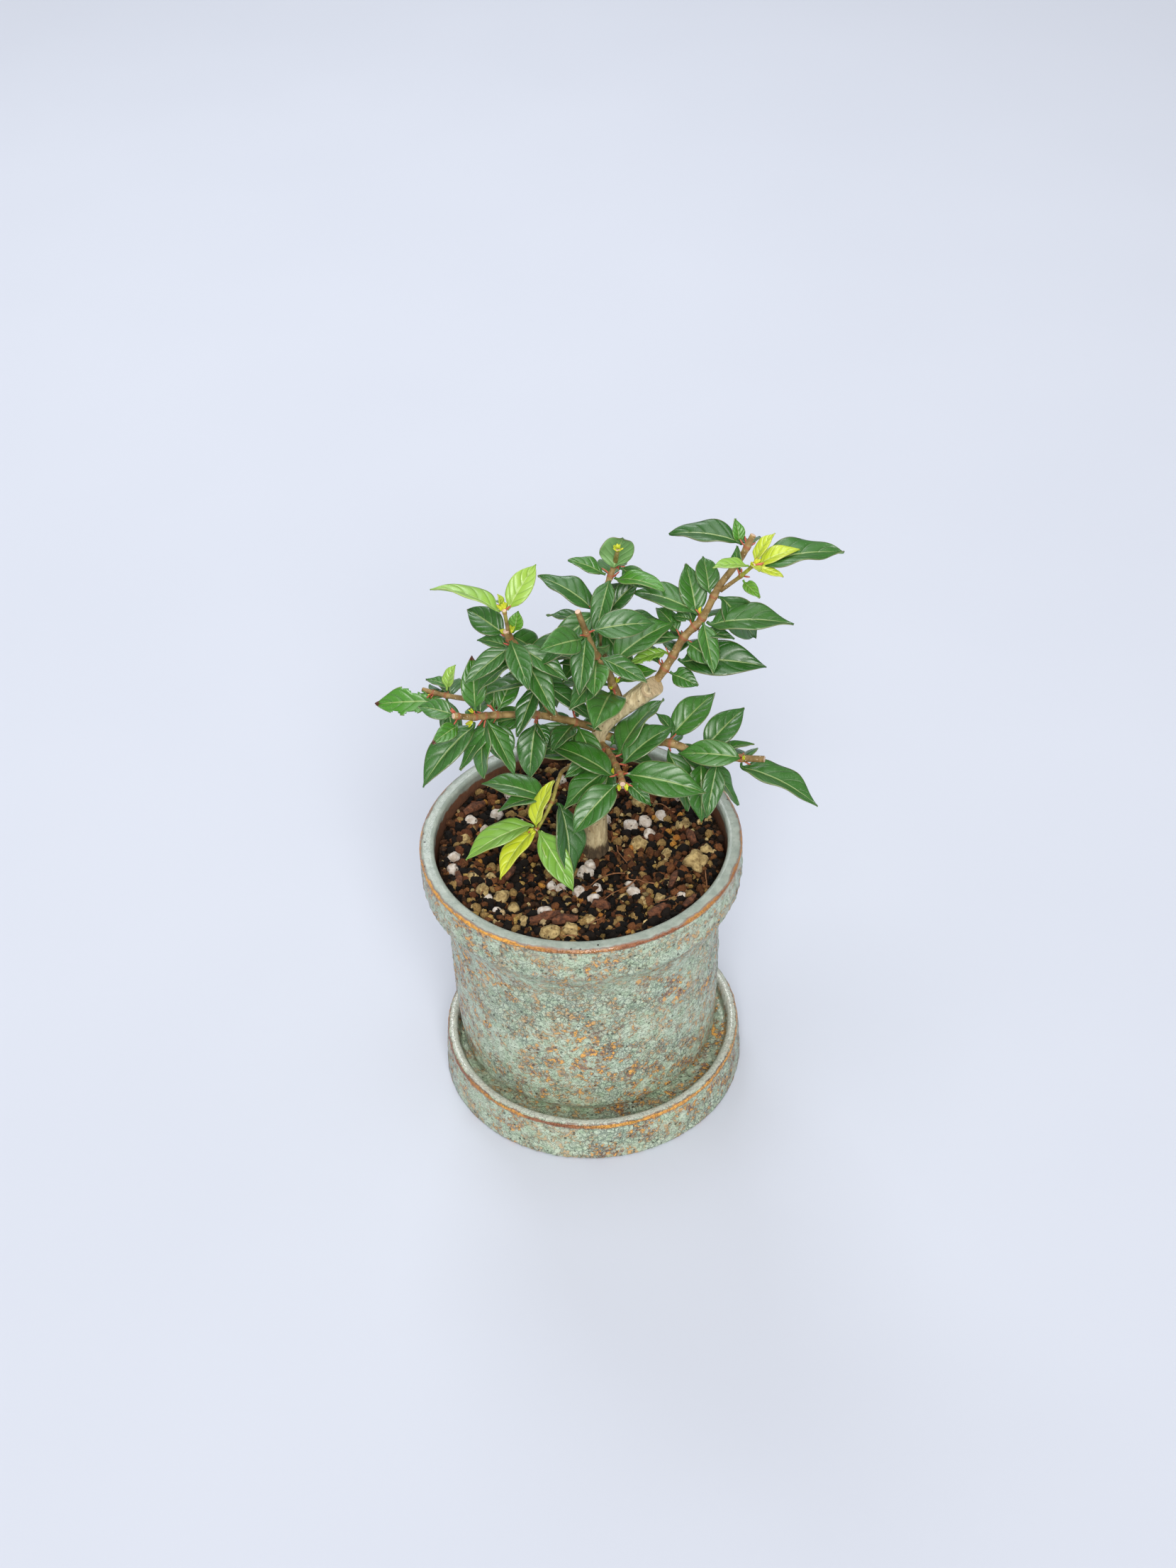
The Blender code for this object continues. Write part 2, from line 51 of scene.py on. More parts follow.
# Where the pot and the saucer stand, read from the frame
POT_LOW, POT_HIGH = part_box("pot")
POT_AXIS = (POT_LOW + POT_HIGH) / 2
RIM_RADIUS = (POT_HIGH.x - POT_LOW.x) / 2
RIM_TOP = POT_HIGH.z
POT_FOOT = POT_LOW.z
SAUCER_LOW, SAUCER_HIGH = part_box("saucer")
SAUCER_AXIS = (SAUCER_LOW + SAUCER_HIGH) / 2
SAUCER_FOOT_RADIUS = (SAUCER_HIGH.x - SAUCER_LOW.x) / 2
SAUCER_TOP = SAUCER_HIGH.z
SOIL_LOW, SOIL_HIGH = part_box("soil")
SOIL_TOP = SOIL_HIGH.z
SOIL_RADIUS = RIM_RADIUS - 4.9 * MM
TRUNK_LOW, TRUNK_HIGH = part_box("trunk")

# How finely the thrown ware is cut, round it and along its section
ROUND_STEPS = 340
SECTION_STEP = 0.85 * MM
SOIL_ROUND_STEPS = 120
SOIL_RINGS = 30

# Corners nearer than these are the same corner
SAME_CORNER = 1e-6
SAME_SEAM = 2e-6

# The side veins of a leaf: how many pairs, how far they lean to the tip, and where their count starts
VEIN_PAIRS = 5.0
VEIN_LEAN = 0.3
WAVE_START = 10

PLAIN = (0, 0, 0, 1)

# Half section of the pot, up its outside and down its inside: inset from the rim radius, height over
# the foot, in mm
POT_SECTION = ((11, 0), (10.4, 3.5), (7.6, 8), (6.5, 27.3), (6.2, 54), (4.4, 60), (0.5, 66), (0, 67),
               (0, 77.3), (0.5, 77.85), (1.3, 78), (3.5, 78), (4.0, 77.6), (4.1, 77), (4.6, 66), (9.3, 58.9),
               (10.6, 55.6), (11.6, 12), (14.2, 7.5), (39, 7.5), (39, 2.5), (15.5, 2.5), (15.5, 0))

# Half section of the saucer from its underside to its floor: inset from its foot radius, height, in mm
SAUCER_SECTION = ((43.9, 0), (0.7, 0), (0, 0.7), (0.85, 12.6), (1.25, 13.45), (1.9, 13.8), (3.0, 13.75),
                  (3.7, 13.3), (4.1, 12.4), (4.5, 11), (5.0, 9), (5.6, 7.2), (6.3, 5.6), (7.0, 4.8),
                  (8.0, 4.5), (43.9, 4.5))


def paint(red, green, blue):
    """A colour as it looks, 0 to 255, turned into the linear values that shaders use."""
    parts = (red, green, blue)
    return tuple(((c / 255 + 0.055) / 1.055) ** 2.4 if c > 10 else c / 3295 for c in parts) + (1,)


# Colours
SAGE = paint(170, 190, 160)
CELADON = paint(198, 212, 188)
BLUE_SAGE = paint(158, 180, 172)
PLUM_BROWN = paint(138, 108, 94)
WALL_BROWN = paint(116, 68, 44)
OCHRE = paint(240, 180, 88)
RUST = paint(150, 88, 50)
GOLD = paint(238, 172, 70)
PIT_BLUE = paint(70, 96, 100)
PIT_BLACK = paint(48, 40, 30)
# A pale band painted into the saucer's top as a highlight
SAUCER_PAINTED_HIGHLIGHT = paint(210, 212, 202)
LIP_SHADE = paint(148, 158, 149)
LIP_GREEN = paint(173, 181, 171)

# A leaf's top and back from deep green to yellow, and how yellow each step is
TOP_GREENS = (paint(30, 86, 18), paint(82, 154, 28), paint(162, 204, 76), paint(214, 222, 36))
BACK_GREENS = (paint(112, 154, 92), paint(134, 178, 86), paint(176, 212, 100), paint(216, 226, 76))
YELLOWING = (0.0, 0.3, 0.6, 1.0)

# Kinds of soil grain: the share of grains up to it, how large it is and its colour
GRAIN_KINDS = ((0.44, 0.8, paint(20, 14, 10)), (0.56, 0.75, paint(66, 44, 28)),
               (0.76, 0.85, paint(116, 72, 42)), (0.86, 0.8, paint(154, 102, 58)),
               (0.94, 0.66, paint(194, 158, 88)), (1.0, 0.62, paint(226, 196, 138)))
CRUMB_COLOURS = (paint(36, 26, 19), paint(118, 68, 40), paint(30, 23, 18), paint(146, 92, 54),
                 paint(24, 19, 16), paint(186, 150, 92))
GRIT_COLOURS = (paint(226, 158, 70), paint(214, 140, 60), paint(226, 196, 146))


# ---------------------------------------------------------------- pieces

def merged(node):
    """A loose copy of a frame node's mesh with its corners joined."""
    shape = bmesh.new()
    shape.from_mesh(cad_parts[node].data)
    bmesh.ops.remove_doubles(shape, verts=shape.verts, dist=SAME_CORNER)
    return shape


def add_piece(name, shape, materials, nodes=(), smooth=True):
    """Makes a finished shape an object that rides on the root and stands for its nodes."""
    mesh = bpy.data.meshes.new(name)
    shape.to_mesh(mesh)
    shape.free()
    for material in materials:
        mesh.materials.append(material)
    if smooth:
        mesh.shade_smooth()
    piece = bpy.data.objects.new(name, mesh)
    bpy.context.scene.collection.objects.link(piece)
    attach(piece, "root")
    if nodes:
        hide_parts(*nodes)
    return piece


def between(keys, share):
    """A smooth value at a share, through a list of (share, value) keys."""
    if share <= keys[0][0]:
        return keys[0][1]
    for index in range(len(keys) - 1):
        start, low = keys[index]
        end, high = keys[index + 1]
        if share <= end:
            before = keys[max(index - 1, 0)]
            after = keys[min(index + 2, len(keys) - 1)]
            width = end - start
            slope_in = (high - before[1]) / (end - before[0]) * width
            slope_out = (after[1] - low) / (after[0] - start) * width
            t = (share - start) / width
            return (low * (2 * t ** 3 - 3 * t ** 2 + 1) + slope_in * (t ** 3 - 2 * t ** 2 + t)
                    + high * (3 * t ** 2 - 2 * t ** 3) + slope_out * (t ** 3 - t ** 2))
    return keys[-1][1]


class Line:
    """A smooth line through points, with steady side directions all along it."""

    def __init__(self, points, values=None, steps=10):
        points = [Vector(p) for p in points]
        values = values or [0.0] * len(points)
        ends = [points[0] * 2 - points[1]] + points + [points[-1] * 2 - points[-2]]
        self.points = []
        self.values = []
        for index in range(1, len(points)):
            a, b, c, d = ends[index - 1:index + 3]
            for step in range(steps + (index == len(points) - 1)):
                t = step / steps
                self.points.append(0.5 * (2 * b + (c - a) * t + (2 * a - 5 * b + 4 * c - d) * t ** 2
                                          + (3 * b - a - 3 * c + d) * t ** 3))
                self.values.append(values[index - 1] * (1 - t) + values[index] * t)
        self.run = [0.0]
        for p, q in zip(self.points, self.points[1:]):
            self.run.append(self.run[-1] + (q - p).length)
        self.length = self.run[-1]
        self.ways = []
        for index in range(len(self.points)):
            way = self.points[min(index + 1, len(self.points) - 1)] - self.points[max(index - 1, 0)]
            self.ways.append(way.normalized())
        side = self.ways[0].orthogonal().normalized()
        self.sides = []
        for way in self.ways:
            side = (side - way * side.dot(way)).normalized()
            self.sides.append(side)

    def place(self, distance):
        """Point, direction, side direction and value at a distance along the line."""
        distance = min(max(distance, 0.0), self.length)
        index = 0
        while index < len(self.run) - 2 and self.run[index + 1] < distance:
            index += 1
        t = (distance - self.run[index]) / max(self.run[index + 1] - self.run[index], 1e-9)
        point = self.points[index].lerp(self.points[index + 1], t)
        way = self.ways[index].lerp(self.ways[index + 1], t).normalized()
        side = self.sides[index].lerp(self.sides[index + 1], t).normalized()
        value = self.values[index] * (1 - t) + self.values[index + 1] * t
        return point, way, side, value

    def nearest(self, spot):
        """Distance along the line of the place nearest to a spot."""
        gaps = [(p - spot).length for p in self.points]
        return self.run[gaps.index(min(gaps))]


def own_map(shape):
    """The shape's own map, made if it has none."""
    return shape.loops.layers.uv.get("UVMap") or shape.loops.layers.uv.new("UVMap")


def thicken(piece, thickness, back=0):
    """Gives a sheet its thickness, with its back in the material this many on."""
    skin = piece.modifiers.new("thickness", "SOLIDIFY")
    skin.thickness = thickness
    skin.offset = -1
    skin.material_offset = back
    skin.use_rim = True


def patch(shape, across, along, where, material=0):
    """A sheet of quads laid out by where(u, v), which gives a point, a map place and its paint."""
    uv_map = own_map(shape)
    tint = shape.verts.layers.float_color.get("tint") or shape.verts.layers.float_color.new("tint")
    made = bmesh.ops.create_grid(shape, x_segments=across, y_segments=along, size=0.5)["verts"]
    places = {}
    for vert in made:
        u, v = vert.co.x + 0.5, vert.co.y + 0.5
        point, spot, colour = where(round(u * across), round(v * along))
        places[vert] = spot
        vert.co = point
        vert[tint] = colour
    faces = {face for vert in made for face in vert.link_faces}
    for face in faces:
        face.material_index = material
        for loop in face.loops:
            loop[uv_map].uv = places[loop.vert]
    return made


def tube(shape, line, around, spacing, radius_at, tint_at, material=0, flat_start=False):
    """A closed round stem along a line, with a cut face at its far end."""
    rows = [(0.0, 0.0), (0.0, 0.7 if flat_start else 0.5)]
    count = max(int(line.length / spacing), 3)
    rows += [(line.length * (index + 0.3) / (count + 0.6), 1.0) for index in range(count + 1)]
    rows += [(line.length - 0.12 * MM, 0.99), (line.length, 0.9), (line.length, 0.5), (line.length, 0.0)]

    def where(column, row):
        distance, share = rows[row]
        point, way, side, radius = line.place(distance)
        angle = math.tau * column / around
        out = side * math.cos(angle) + way.cross(side) * math.sin(angle)
        reach = radius_at(distance, angle, radius, point + out * radius) * share
        cut = 1.0 if row >= len(rows) - 3 else 0.0
        spot = point + out * reach
        return spot, (column / around, row / (len(rows) - 1)), tint_at(distance, angle, cut, spot)

    made = patch(shape, around, len(rows) - 1, where, material)
    bmesh.ops.remove_doubles(shape, verts=made, dist=SAME_CORNER)


def plain_radius(distance, angle, radius, spot):
    """The radius of a stem that is as round and smooth as its line says."""
    return radius


# ---------------------------------------------------------------- shader parts

class Nodes:
    """Adds nodes to a shader tree and joins them up."""

    def __init__(self, tree):
        self.tree = tree

    def add(self, kind, inputs=None, **settings):
        node = self.tree.nodes.new(kind)
        for key, value in settings.items():
            setattr(node, key, value)
        for key, value in (inputs or {}).items():
            if isinstance(value, bpy.types.NodeSocket):
                self.tree.links.new(value, node.inputs[key])
            else:
                node.inputs[key].default_value = value
        return node

    def figure(self, operation, a, b=0.0, clamp=False):
        return self.add("ShaderNodeMath", {0: a, 1: b}, operation=operation, use_clamp=clamp).outputs[0]

    def plus(self, a, b, clamp=False):
        return self.figure("ADD", a, b, clamp)

    def minus(self, a, b):
        return self.figure("SUBTRACT", a, b)

    def times(self, a, b, clamp=False):
        return self.figure("MULTIPLY", a, b, clamp)

    def mix(self, mask, a, b, blend="MIX"):
        node = self.add("ShaderNodeMix", {0: mask, 6: a, 7: b}, data_type="RGBA", blend_type=blend)
        return node.outputs[2]

    def layer(self, colour, mask, strength, other):
        """Lays another colour over a colour where a mask says, as strongly as told."""
        return self.mix(self.times(mask, strength), colour, other)

    def fray(self, zone, cloud, amount):
        """Makes the edge of a painted zone ragged."""
        return self.plus(zone, self.times(self.minus(cloud, 0.5), amount))

    def ramp(self, value, low, high, smooth=True):
        kind = "SMOOTHSTEP" if smooth else "LINEAR"
        node = self.add("ShaderNodeMapRange", {0: value, 1: low, 2: high}, interpolation_type=kind)
        return node.outputs[0]

    def group(self, tree, **inputs):
        node = self.add("ShaderNodeGroup", node_tree=tree)
        for key, value in inputs.items():
            socket = node.inputs[key.replace("_", " ").title()]
            if isinstance(value, bpy.types.NodeSocket):
                self.tree.links.new(value, socket)
            else:
                socket.default_value = value
        return node.outputs

    def mottle(self, place, scale, detail, low, high):
        """Cloudy patches."""
        return self.group(MOTTLE, vector=place, scale=scale, detail=detail, low=low, high=high)[0]

    def specks(self, place, scale, size, share):
        """Small round spots."""
        return self.group(SPECKS, vector=place, scale=scale, size=size, share=share)[0]


def new_group(name, inputs, outputs):
    """An empty shader group with named sockets; gives its nodes, its input sockets and its output node."""
    tree = bpy.data.node_groups.new(name, "ShaderNodeTree")
    for label, value in inputs:
        kind = "NodeSocketVector" if value is None else "NodeSocketFloat"
        socket = tree.interface.new_socket(label, in_out="INPUT", socket_type=kind)
        if value is not None:
            socket.default_value = value
    for label in outputs:
        tree.interface.new_socket(label, in_out="OUTPUT", socket_type="NodeSocketFloat")
    nodes = Nodes(tree)
    return tree, nodes, nodes.add("NodeGroupInput").outputs, nodes.add("NodeGroupOutput")


def make_mottle():
    """Cloudy patches: a noise cut between two levels."""
    tree, nodes, given, out = new_group(
        "mottle", [("Vector", None), ("Scale", 100), ("Detail", 3), ("Low", 0.4), ("High", 0.6)], ["Mask"])
    cloud = nodes.add("ShaderNodeTexNoise", {"Vector": given[0], "Scale": given[1], "Detail": given[2],
                                             "Roughness": 0.6})
    tree.links.new(nodes.ramp(cloud.outputs[0], given[3], given[4]), out.inputs[0])
    return tree


def make_specks():
    """Small round spots, at a share of the cells of a mosaic."""
    tree, nodes, given, out = new_group(
        "specks", [("Vector", None), ("Scale", 500), ("Size", 0.3), ("Share", 0.3)], ["Mask"])
    cells = nodes.add("ShaderNodeTexVoronoi", {"Vector": given[0], "Scale": given[1]})
    near = nodes.figure("DIVIDE", cells.outputs["Distance"], given[2])
    spot = nodes.ramp(near, 1.0, 0.6)
    draw = nodes.add("ShaderNodeSeparateColor", {0: cells.outputs["Color"]}).outputs[0]
    pick = nodes.figure("LESS_THAN", draw, given[3])
    tree.links.new(nodes.times(spot, pick), out.inputs[0])
    return tree


def make_crackle():
    """Fine broken lines between the cells of a warped mosaic."""
    tree, nodes, given, out = new_group(
        "crackle", [("Vector", None), ("Scale", 400), ("Width", 0.08)], ["Mask"])
    warp = nodes.add("ShaderNodeTexNoise", {"Vector": given[0], "Scale": given[1], "Detail": 2.0})
    shift = nodes.add("ShaderNodeVectorMath", {0: warp.outputs["Color"], 1: (0.0015, 0.0015, 0.0015)},
                      operation="MULTIPLY")
    place = nodes.add("ShaderNodeVectorMath", {0: given[0], 1: shift.outputs[0]}, operation="ADD")
    cells = nodes.add("ShaderNodeTexVoronoi", {"Vector": place.outputs[0], "Scale": given[1]},
                      feature="DISTANCE_TO_EDGE")
    near = nodes.figure("DIVIDE", cells.outputs["Distance"], given[2])
    tree.links.new(nodes.ramp(near, 1.0, 0.2), out.inputs[0])
    return tree


def make_leaf_veins():
    """Midrib, side veins, edge line and quilting of a leaf, from its own map."""
    tree, nodes, given, out = new_group(
        "leaf_veins", [("Vector", None), ("Pairs", VEIN_PAIRS), ("Lean", VEIN_LEAN)],
        ["Midrib", "Side Veins", "Edge", "Quilt"])
    split = nodes.add("ShaderNodeSeparateXYZ", {0: given[0]})
    side = nodes.times(nodes.figure("ABSOLUTE", nodes.minus(split.outputs[0], 0.5)), 2.0)
    share = nodes.minus(nodes.times(split.outputs[1], 1.1), 0.1)
    rib_width = nodes.minus(0.085, nodes.times(share, 0.04))
    midrib = nodes.ramp(nodes.figure("DIVIDE", side, rib_width), 1.0, 0.5)
    lean = nodes.times(nodes.figure("POWER", side, 1.25), given[2])
    wave = nodes.times(nodes.minus(share, lean), given[1])
    # How far each place is from the nearest side vein, as a share of the gap between two
    gap = nodes.figure("ABSOLUTE", nodes.minus(nodes.figure("FRACT", nodes.plus(wave, WAVE_START)), 0.5))
    line = nodes.ramp(gap, 0.055, 0.015)
    fade = nodes.ramp(side, 0.98, 0.55)
    inner = nodes.ramp(share, 0.05, 0.16)
    outer = nodes.ramp(share, 0.96, 0.8)
    veins = nodes.times(nodes.times(line, fade), nodes.times(inner, outer))
    edge = nodes.times(nodes.ramp(side, 0.93, 0.985), inner)
    quilt = nodes.times(nodes.ramp(gap, 0.0, 0.25), inner)
    for value, label in ((midrib, "Midrib"), (veins, "Side Veins"), (edge, "Edge"), (quilt, "Quilt")):
        tree.links.new(value, out.inputs[label])
    return tree


MOTTLE = make_mottle()
SPECKS = make_specks()
CRACKLE = make_crackle()
LEAF_VEINS = make_leaf_veins()


def new_material(name, **uniform):
    """A material with its shader; gives the material, its nodes, its shader and its object coordinates."""
    material = bpy.data.materials.new(name)
    material.use_nodes = True
    nodes = Nodes(material.node_tree)
    shader = material.node_tree.nodes["Principled BSDF"]
    for label, value in uniform.items():
        shader.inputs[label.replace("_", " ")].default_value = value
    place = nodes.add("ShaderNodeTexCoord").outputs["Object"]
    return material, nodes, shader, place


def finish_shader(nodes, shader, colour, roughness=None, height=None, depth=0.2 * MM):
    """Joins colour, roughness and relief to the shader."""
    links = nodes.tree.links
    links.new(colour, shader.inputs["Base Color"])
    if roughness is not None:
        links.new(roughness, shader.inputs["Roughness"])
    if height is not None:
        bump = nodes.add("ShaderNodeBump", {"Height": height, "Distance": depth, "Strength": 1.0})
        links.new(bump.outputs[0], shader.inputs["Normal"])


def tint_parts(nodes):
    """The painted tint of a piece, split in its red, green and blue."""
    tint = nodes.add("ShaderNodeAttribute", attribute_name="tint").outputs["Color"]
    return nodes.add("ShaderNodeSeparateColor", {0: tint}).outputs


def make_glaze():
    """Sage glaze with rust blotches, blue-black pits, a gold line, a smooth pale lip and a painted highlight
    on the saucer's top.
    """
    material, nodes, shader, place = new_material("celadon_glaze", Coat_Weight=0.25, Coat_Roughness=0.18)
    zones = tint_parts(nodes)
    gold_zone, lip_zone, rust_zone = zones[0], zones[1], zones[2]
    drift = nodes.mottle(place, 45, 3, 0.38, 0.62)
    pale = nodes.mottle(place, 420, 5, 0.36, 0.64)
    cool = nodes.mottle(place, 90, 4, 0.46, 0.66)
    colour = nodes.mix(pale, SAGE, CELADON)
    colour = nodes.layer(colour, cool, 0.2, BLUE_SAGE)
    shelter = nodes.minus(1.0, nodes.times(lip_zone, 0.96))
    haze = nodes.mottle(place, 120, 6, 0.52, 0.68)
    haze = nodes.times(haze, shelter)
    colour = nodes.layer(colour, haze, 0.2, PLUM_BROWN)
    share = nodes.times(nodes.plus(nodes.times(drift, 0.7), 0.35, True), shelter)
    cluster = nodes.mottle(place, 240, 5, 0.44, 0.57)
    cluster = nodes.times(cluster, share)
    colour = nodes.layer(colour, cluster, 0.52, PLUM_BROWN)
    fine = nodes.mottle(place, 820, 5, 0.47, 0.53)
    blotch = nodes.times(cluster, fine)
    colour = nodes.layer(colour, blotch, 0.9, nodes.mix(0.3, PLUM_BROWN, RUST))
    grain = nodes.mottle(place, 760, 3, 0.465, 0.52)
    ochre = nodes.times(blotch, grain)
    colour = nodes.layer(colour, ochre, 0.95, OCHRE)
    lines = nodes.group(CRACKLE, vector=place, scale=620, width=0.10)[0]
    web = nodes.mottle(place, 75, 4, 0.44, 0.60)
    lines = nodes.times(nodes.times(lines, web), shelter)
    colour = nodes.layer(colour, lines, 0.36, PIT_BLUE)
    pits = nodes.specks(place, 760, 0.34, 0.2)
    pits = nodes.times(pits, nodes.figure("MAXIMUM", nodes.times(shelter, 0.9), 0.12))
    colour = nodes.layer(colour, pits, 0.68, PIT_BLACK)
    lip_fleck = nodes.mottle(place, 420, 4, 0.3, 0.75)
    colour = nodes.layer(colour, lip_zone, 0.95, nodes.mix(lip_fleck, LIP_SHADE, LIP_GREEN))
    # A zone painted half way is the saucer's smooth top: it is made glossier and gets a pale painted
    # highlight band in its colour
    gloss_and_painted_highlight = nodes.times(nodes.times(lip_zone, nodes.minus(1.0, lip_zone)), 4.0)
    colour = nodes.layer(colour, nodes.ramp(gloss_and_painted_highlight, 0.5, 0.95), 0.6, SAUCER_PAINTED_HIGHLIGHT)
    pinholes = nodes.specks(place, 420, 0.14, 0.22)
    pinholes = nodes.times(pinholes, lip_zone)
    colour = nodes.mix(pinholes, colour, PIT_BLACK)
    ragged = nodes.mottle(place, 260, 3, 0.25, 0.75)
    gold_cut = nodes.fray(gold_zone, ragged, 0.5)
    brown_line = nodes.ramp(gold_cut, 0.22, 0.42)
    gold_line = nodes.ramp(gold_cut, 0.52, 0.72)
    colour = nodes.layer(colour, brown_line, 0.75, PLUM_BROWN)
    worn = nodes.mottle(place, 22, 3, 0.40, 0.56)
    bright = nodes.times(worn, nodes.plus(0.6, nodes.times(grain, 0.4)))
    colour = nodes.layer(colour, gold_line, 0.9, nodes.mix(bright, RUST, GOLD))
    rust_cut = nodes.fray(rust_zone, ragged, 0.5)
    rusty = nodes.layer(WALL_BROWN, grain, 0.4, RUST)
    colour = nodes.layer(colour, nodes.ramp(rust_cut, 0.35, 0.75), 0.9, rusty)
    height = nodes.minus(nodes.times(fine, 0.6), nodes.times(lines, 0.7))
    height = nodes.minus(height, pits)
    height = nodes.times(height, nodes.minus(1.0, nodes.times(lip_zone, 0.85)))
    height = nodes.minus(height, pinholes)
    rough = nodes.plus(0.36, nodes.times(blotch, 0.25))
    rough = nodes.minus(rough, nodes.times(gloss_and_painted_highlight, 0.24))
    finish_shader(nodes, shader, colour, rough, height, 0.4 * MM)
    return material


def make_soil_bed():
    """Dark wet crumb between the grains."""
    material, nodes, shader, place = new_material("soil_bed", Roughness=0.95, Specular_IOR_Level=0.15)
    clumps = nodes.mottle(place, 700, 4, 0.35, 0.7)
    colour = nodes.mix(clumps, paint(22, 15, 10), paint(70, 48, 30))
    finish_shader(nodes, shader, colour, None, clumps, 0.6 * MM)
    return material


def make_grain():
    """Crumbs of soil, each with its own painted colour."""
    material, nodes, shader, place = new_material("soil_grain", Roughness=0.85, Specular_IOR_Level=0.25)
    tint = nodes.add("ShaderNodeAttribute", attribute_name="tint").outputs["Color"]
    dust = nodes.mottle(place, 1500, 4, 0.35, 0.75)
    dark = nodes.mix(0.55, tint, paint(10, 8, 6), "MULTIPLY")
    colour = nodes.mix(dust, dark, tint)
    pits = nodes.specks(place, 1700, 0.3, 0.3)
    colour = nodes.layer(colour, pits, 0.5, paint(24, 17, 12))
    finish_shader(nodes, shader, colour, None, dust, 0.25 * MM)
    return material


def make_stone(name, light, shade, pit_scale, pit_share, roughness):
    """A porous stone: perlite or pumice."""
    material, nodes, shader, place = new_material(name, Roughness=roughness)
    cloud = nodes.mottle(place, 650, 4, 0.3, 0.7)
    colour = nodes.mix(cloud, shade, light)
    pits = nodes.specks(place, pit_scale, 0.32, pit_share)
    colour = nodes.layer(colour, pits, 0.85, paint(66, 50, 36))
    height = nodes.minus(nodes.times(cloud, 0.5), pits)
    finish_shader(nodes, shader, colour, None, height, 0.3 * MM)
    return material


def make_chip():
    """Red-brown splinters of bark in the soil."""
    material, nodes, shader, place = new_material("bark_chip", Roughness=0.85)
    grain = nodes.mottle(place, 900, 5, 0.3, 0.7)
    colour = nodes.mix(grain, paint(58, 32, 20), paint(128, 78, 50))
    finish_shader(nodes, shader, colour, None, grain, 0.3 * MM)
    return material


def make_bark():
    """Pale beige-grey trunk bark, darker and earthy at the foot, with pale wood where it was cut."""
    material, nodes, shader, place = new_material("trunk_bark", Roughness=0.8)
    marks = tint_parts(nodes)
    stretch = nodes.add("ShaderNodeMapping", {"Vector": place, "Scale": (1.0, 1.0, 0.28)}).outputs[0]
    streak = nodes.mottle(stretch, 900, 5, 0.32, 0.68)
    cloud = nodes.mottle(place, 170, 4, 0.38, 0.62)
    colour = nodes.mix(streak, paint(184, 160, 118), paint(240, 222, 178))
    colour = nodes.layer(colour, cloud, 0.5, paint(204, 188, 146))
    specks = nodes.specks(place, 900, 0.35, 0.2)
    colour = nodes.layer(colour, specks, 0.5, paint(92, 66, 44))
    foot = nodes.fray(marks[2], streak, 0.5)
    earthy = nodes.mix(streak, paint(34, 22, 14), paint(84, 60, 38))
    colour = nodes.layer(colour, nodes.ramp(foot, 0.3, 0.8), 0.92, earthy)
    knot = nodes.ramp(nodes.plus(marks[1], nodes.times(streak, 0.3)), 0.45, 0.9)
    colour = nodes.layer(colour, knot, 0.8, paint(84, 62, 44))
    colour = nodes.mix(nodes.ramp(marks[0], 0.4, 0.7), colour, paint(196, 172, 134))
    height = nodes.minus(streak, nodes.times(specks, 0.6))
    finish_shader(nodes, shader, colour, None, height, 0.25 * MM)
    return material


def make_twig_bark():
    """Olive-brown twig skin with pale pores, red at its nodes, pale at its cut end and lime when young."""
    material, nodes, shader, place = new_material("twig_skin", Roughness=0.6)
    marks = tint_parts(nodes)
    cloud = nodes.mottle(place, 420, 4, 0.3, 0.7)
    colour = nodes.mix(cloud, paint(112, 86, 44), paint(170, 140, 88))
    pores = nodes.specks(place, 1250, 0.34, 0.3)
    colour = nodes.layer(colour, pores, 0.75, paint(208, 186, 146))
    lime = nodes.mix(cloud, paint(150, 160, 30), paint(190, 200, 70))
    colour = nodes.layer(colour, marks[2], 0.95, lime)
    red = nodes.fray(marks[0], cloud, 0.3)
    colour = nodes.layer(colour, nodes.ramp(red, 0.4, 0.95), 0.6, paint(160, 80, 56))
    colour = nodes.mix(nodes.ramp(marks[1], 0.4, 0.7), colour, paint(222, 190, 166))
    height = nodes.plus(nodes.times(cloud, 0.5), pores)
    finish_shader(nodes, shader, colour, None, height, 0.12 * MM)
    return material


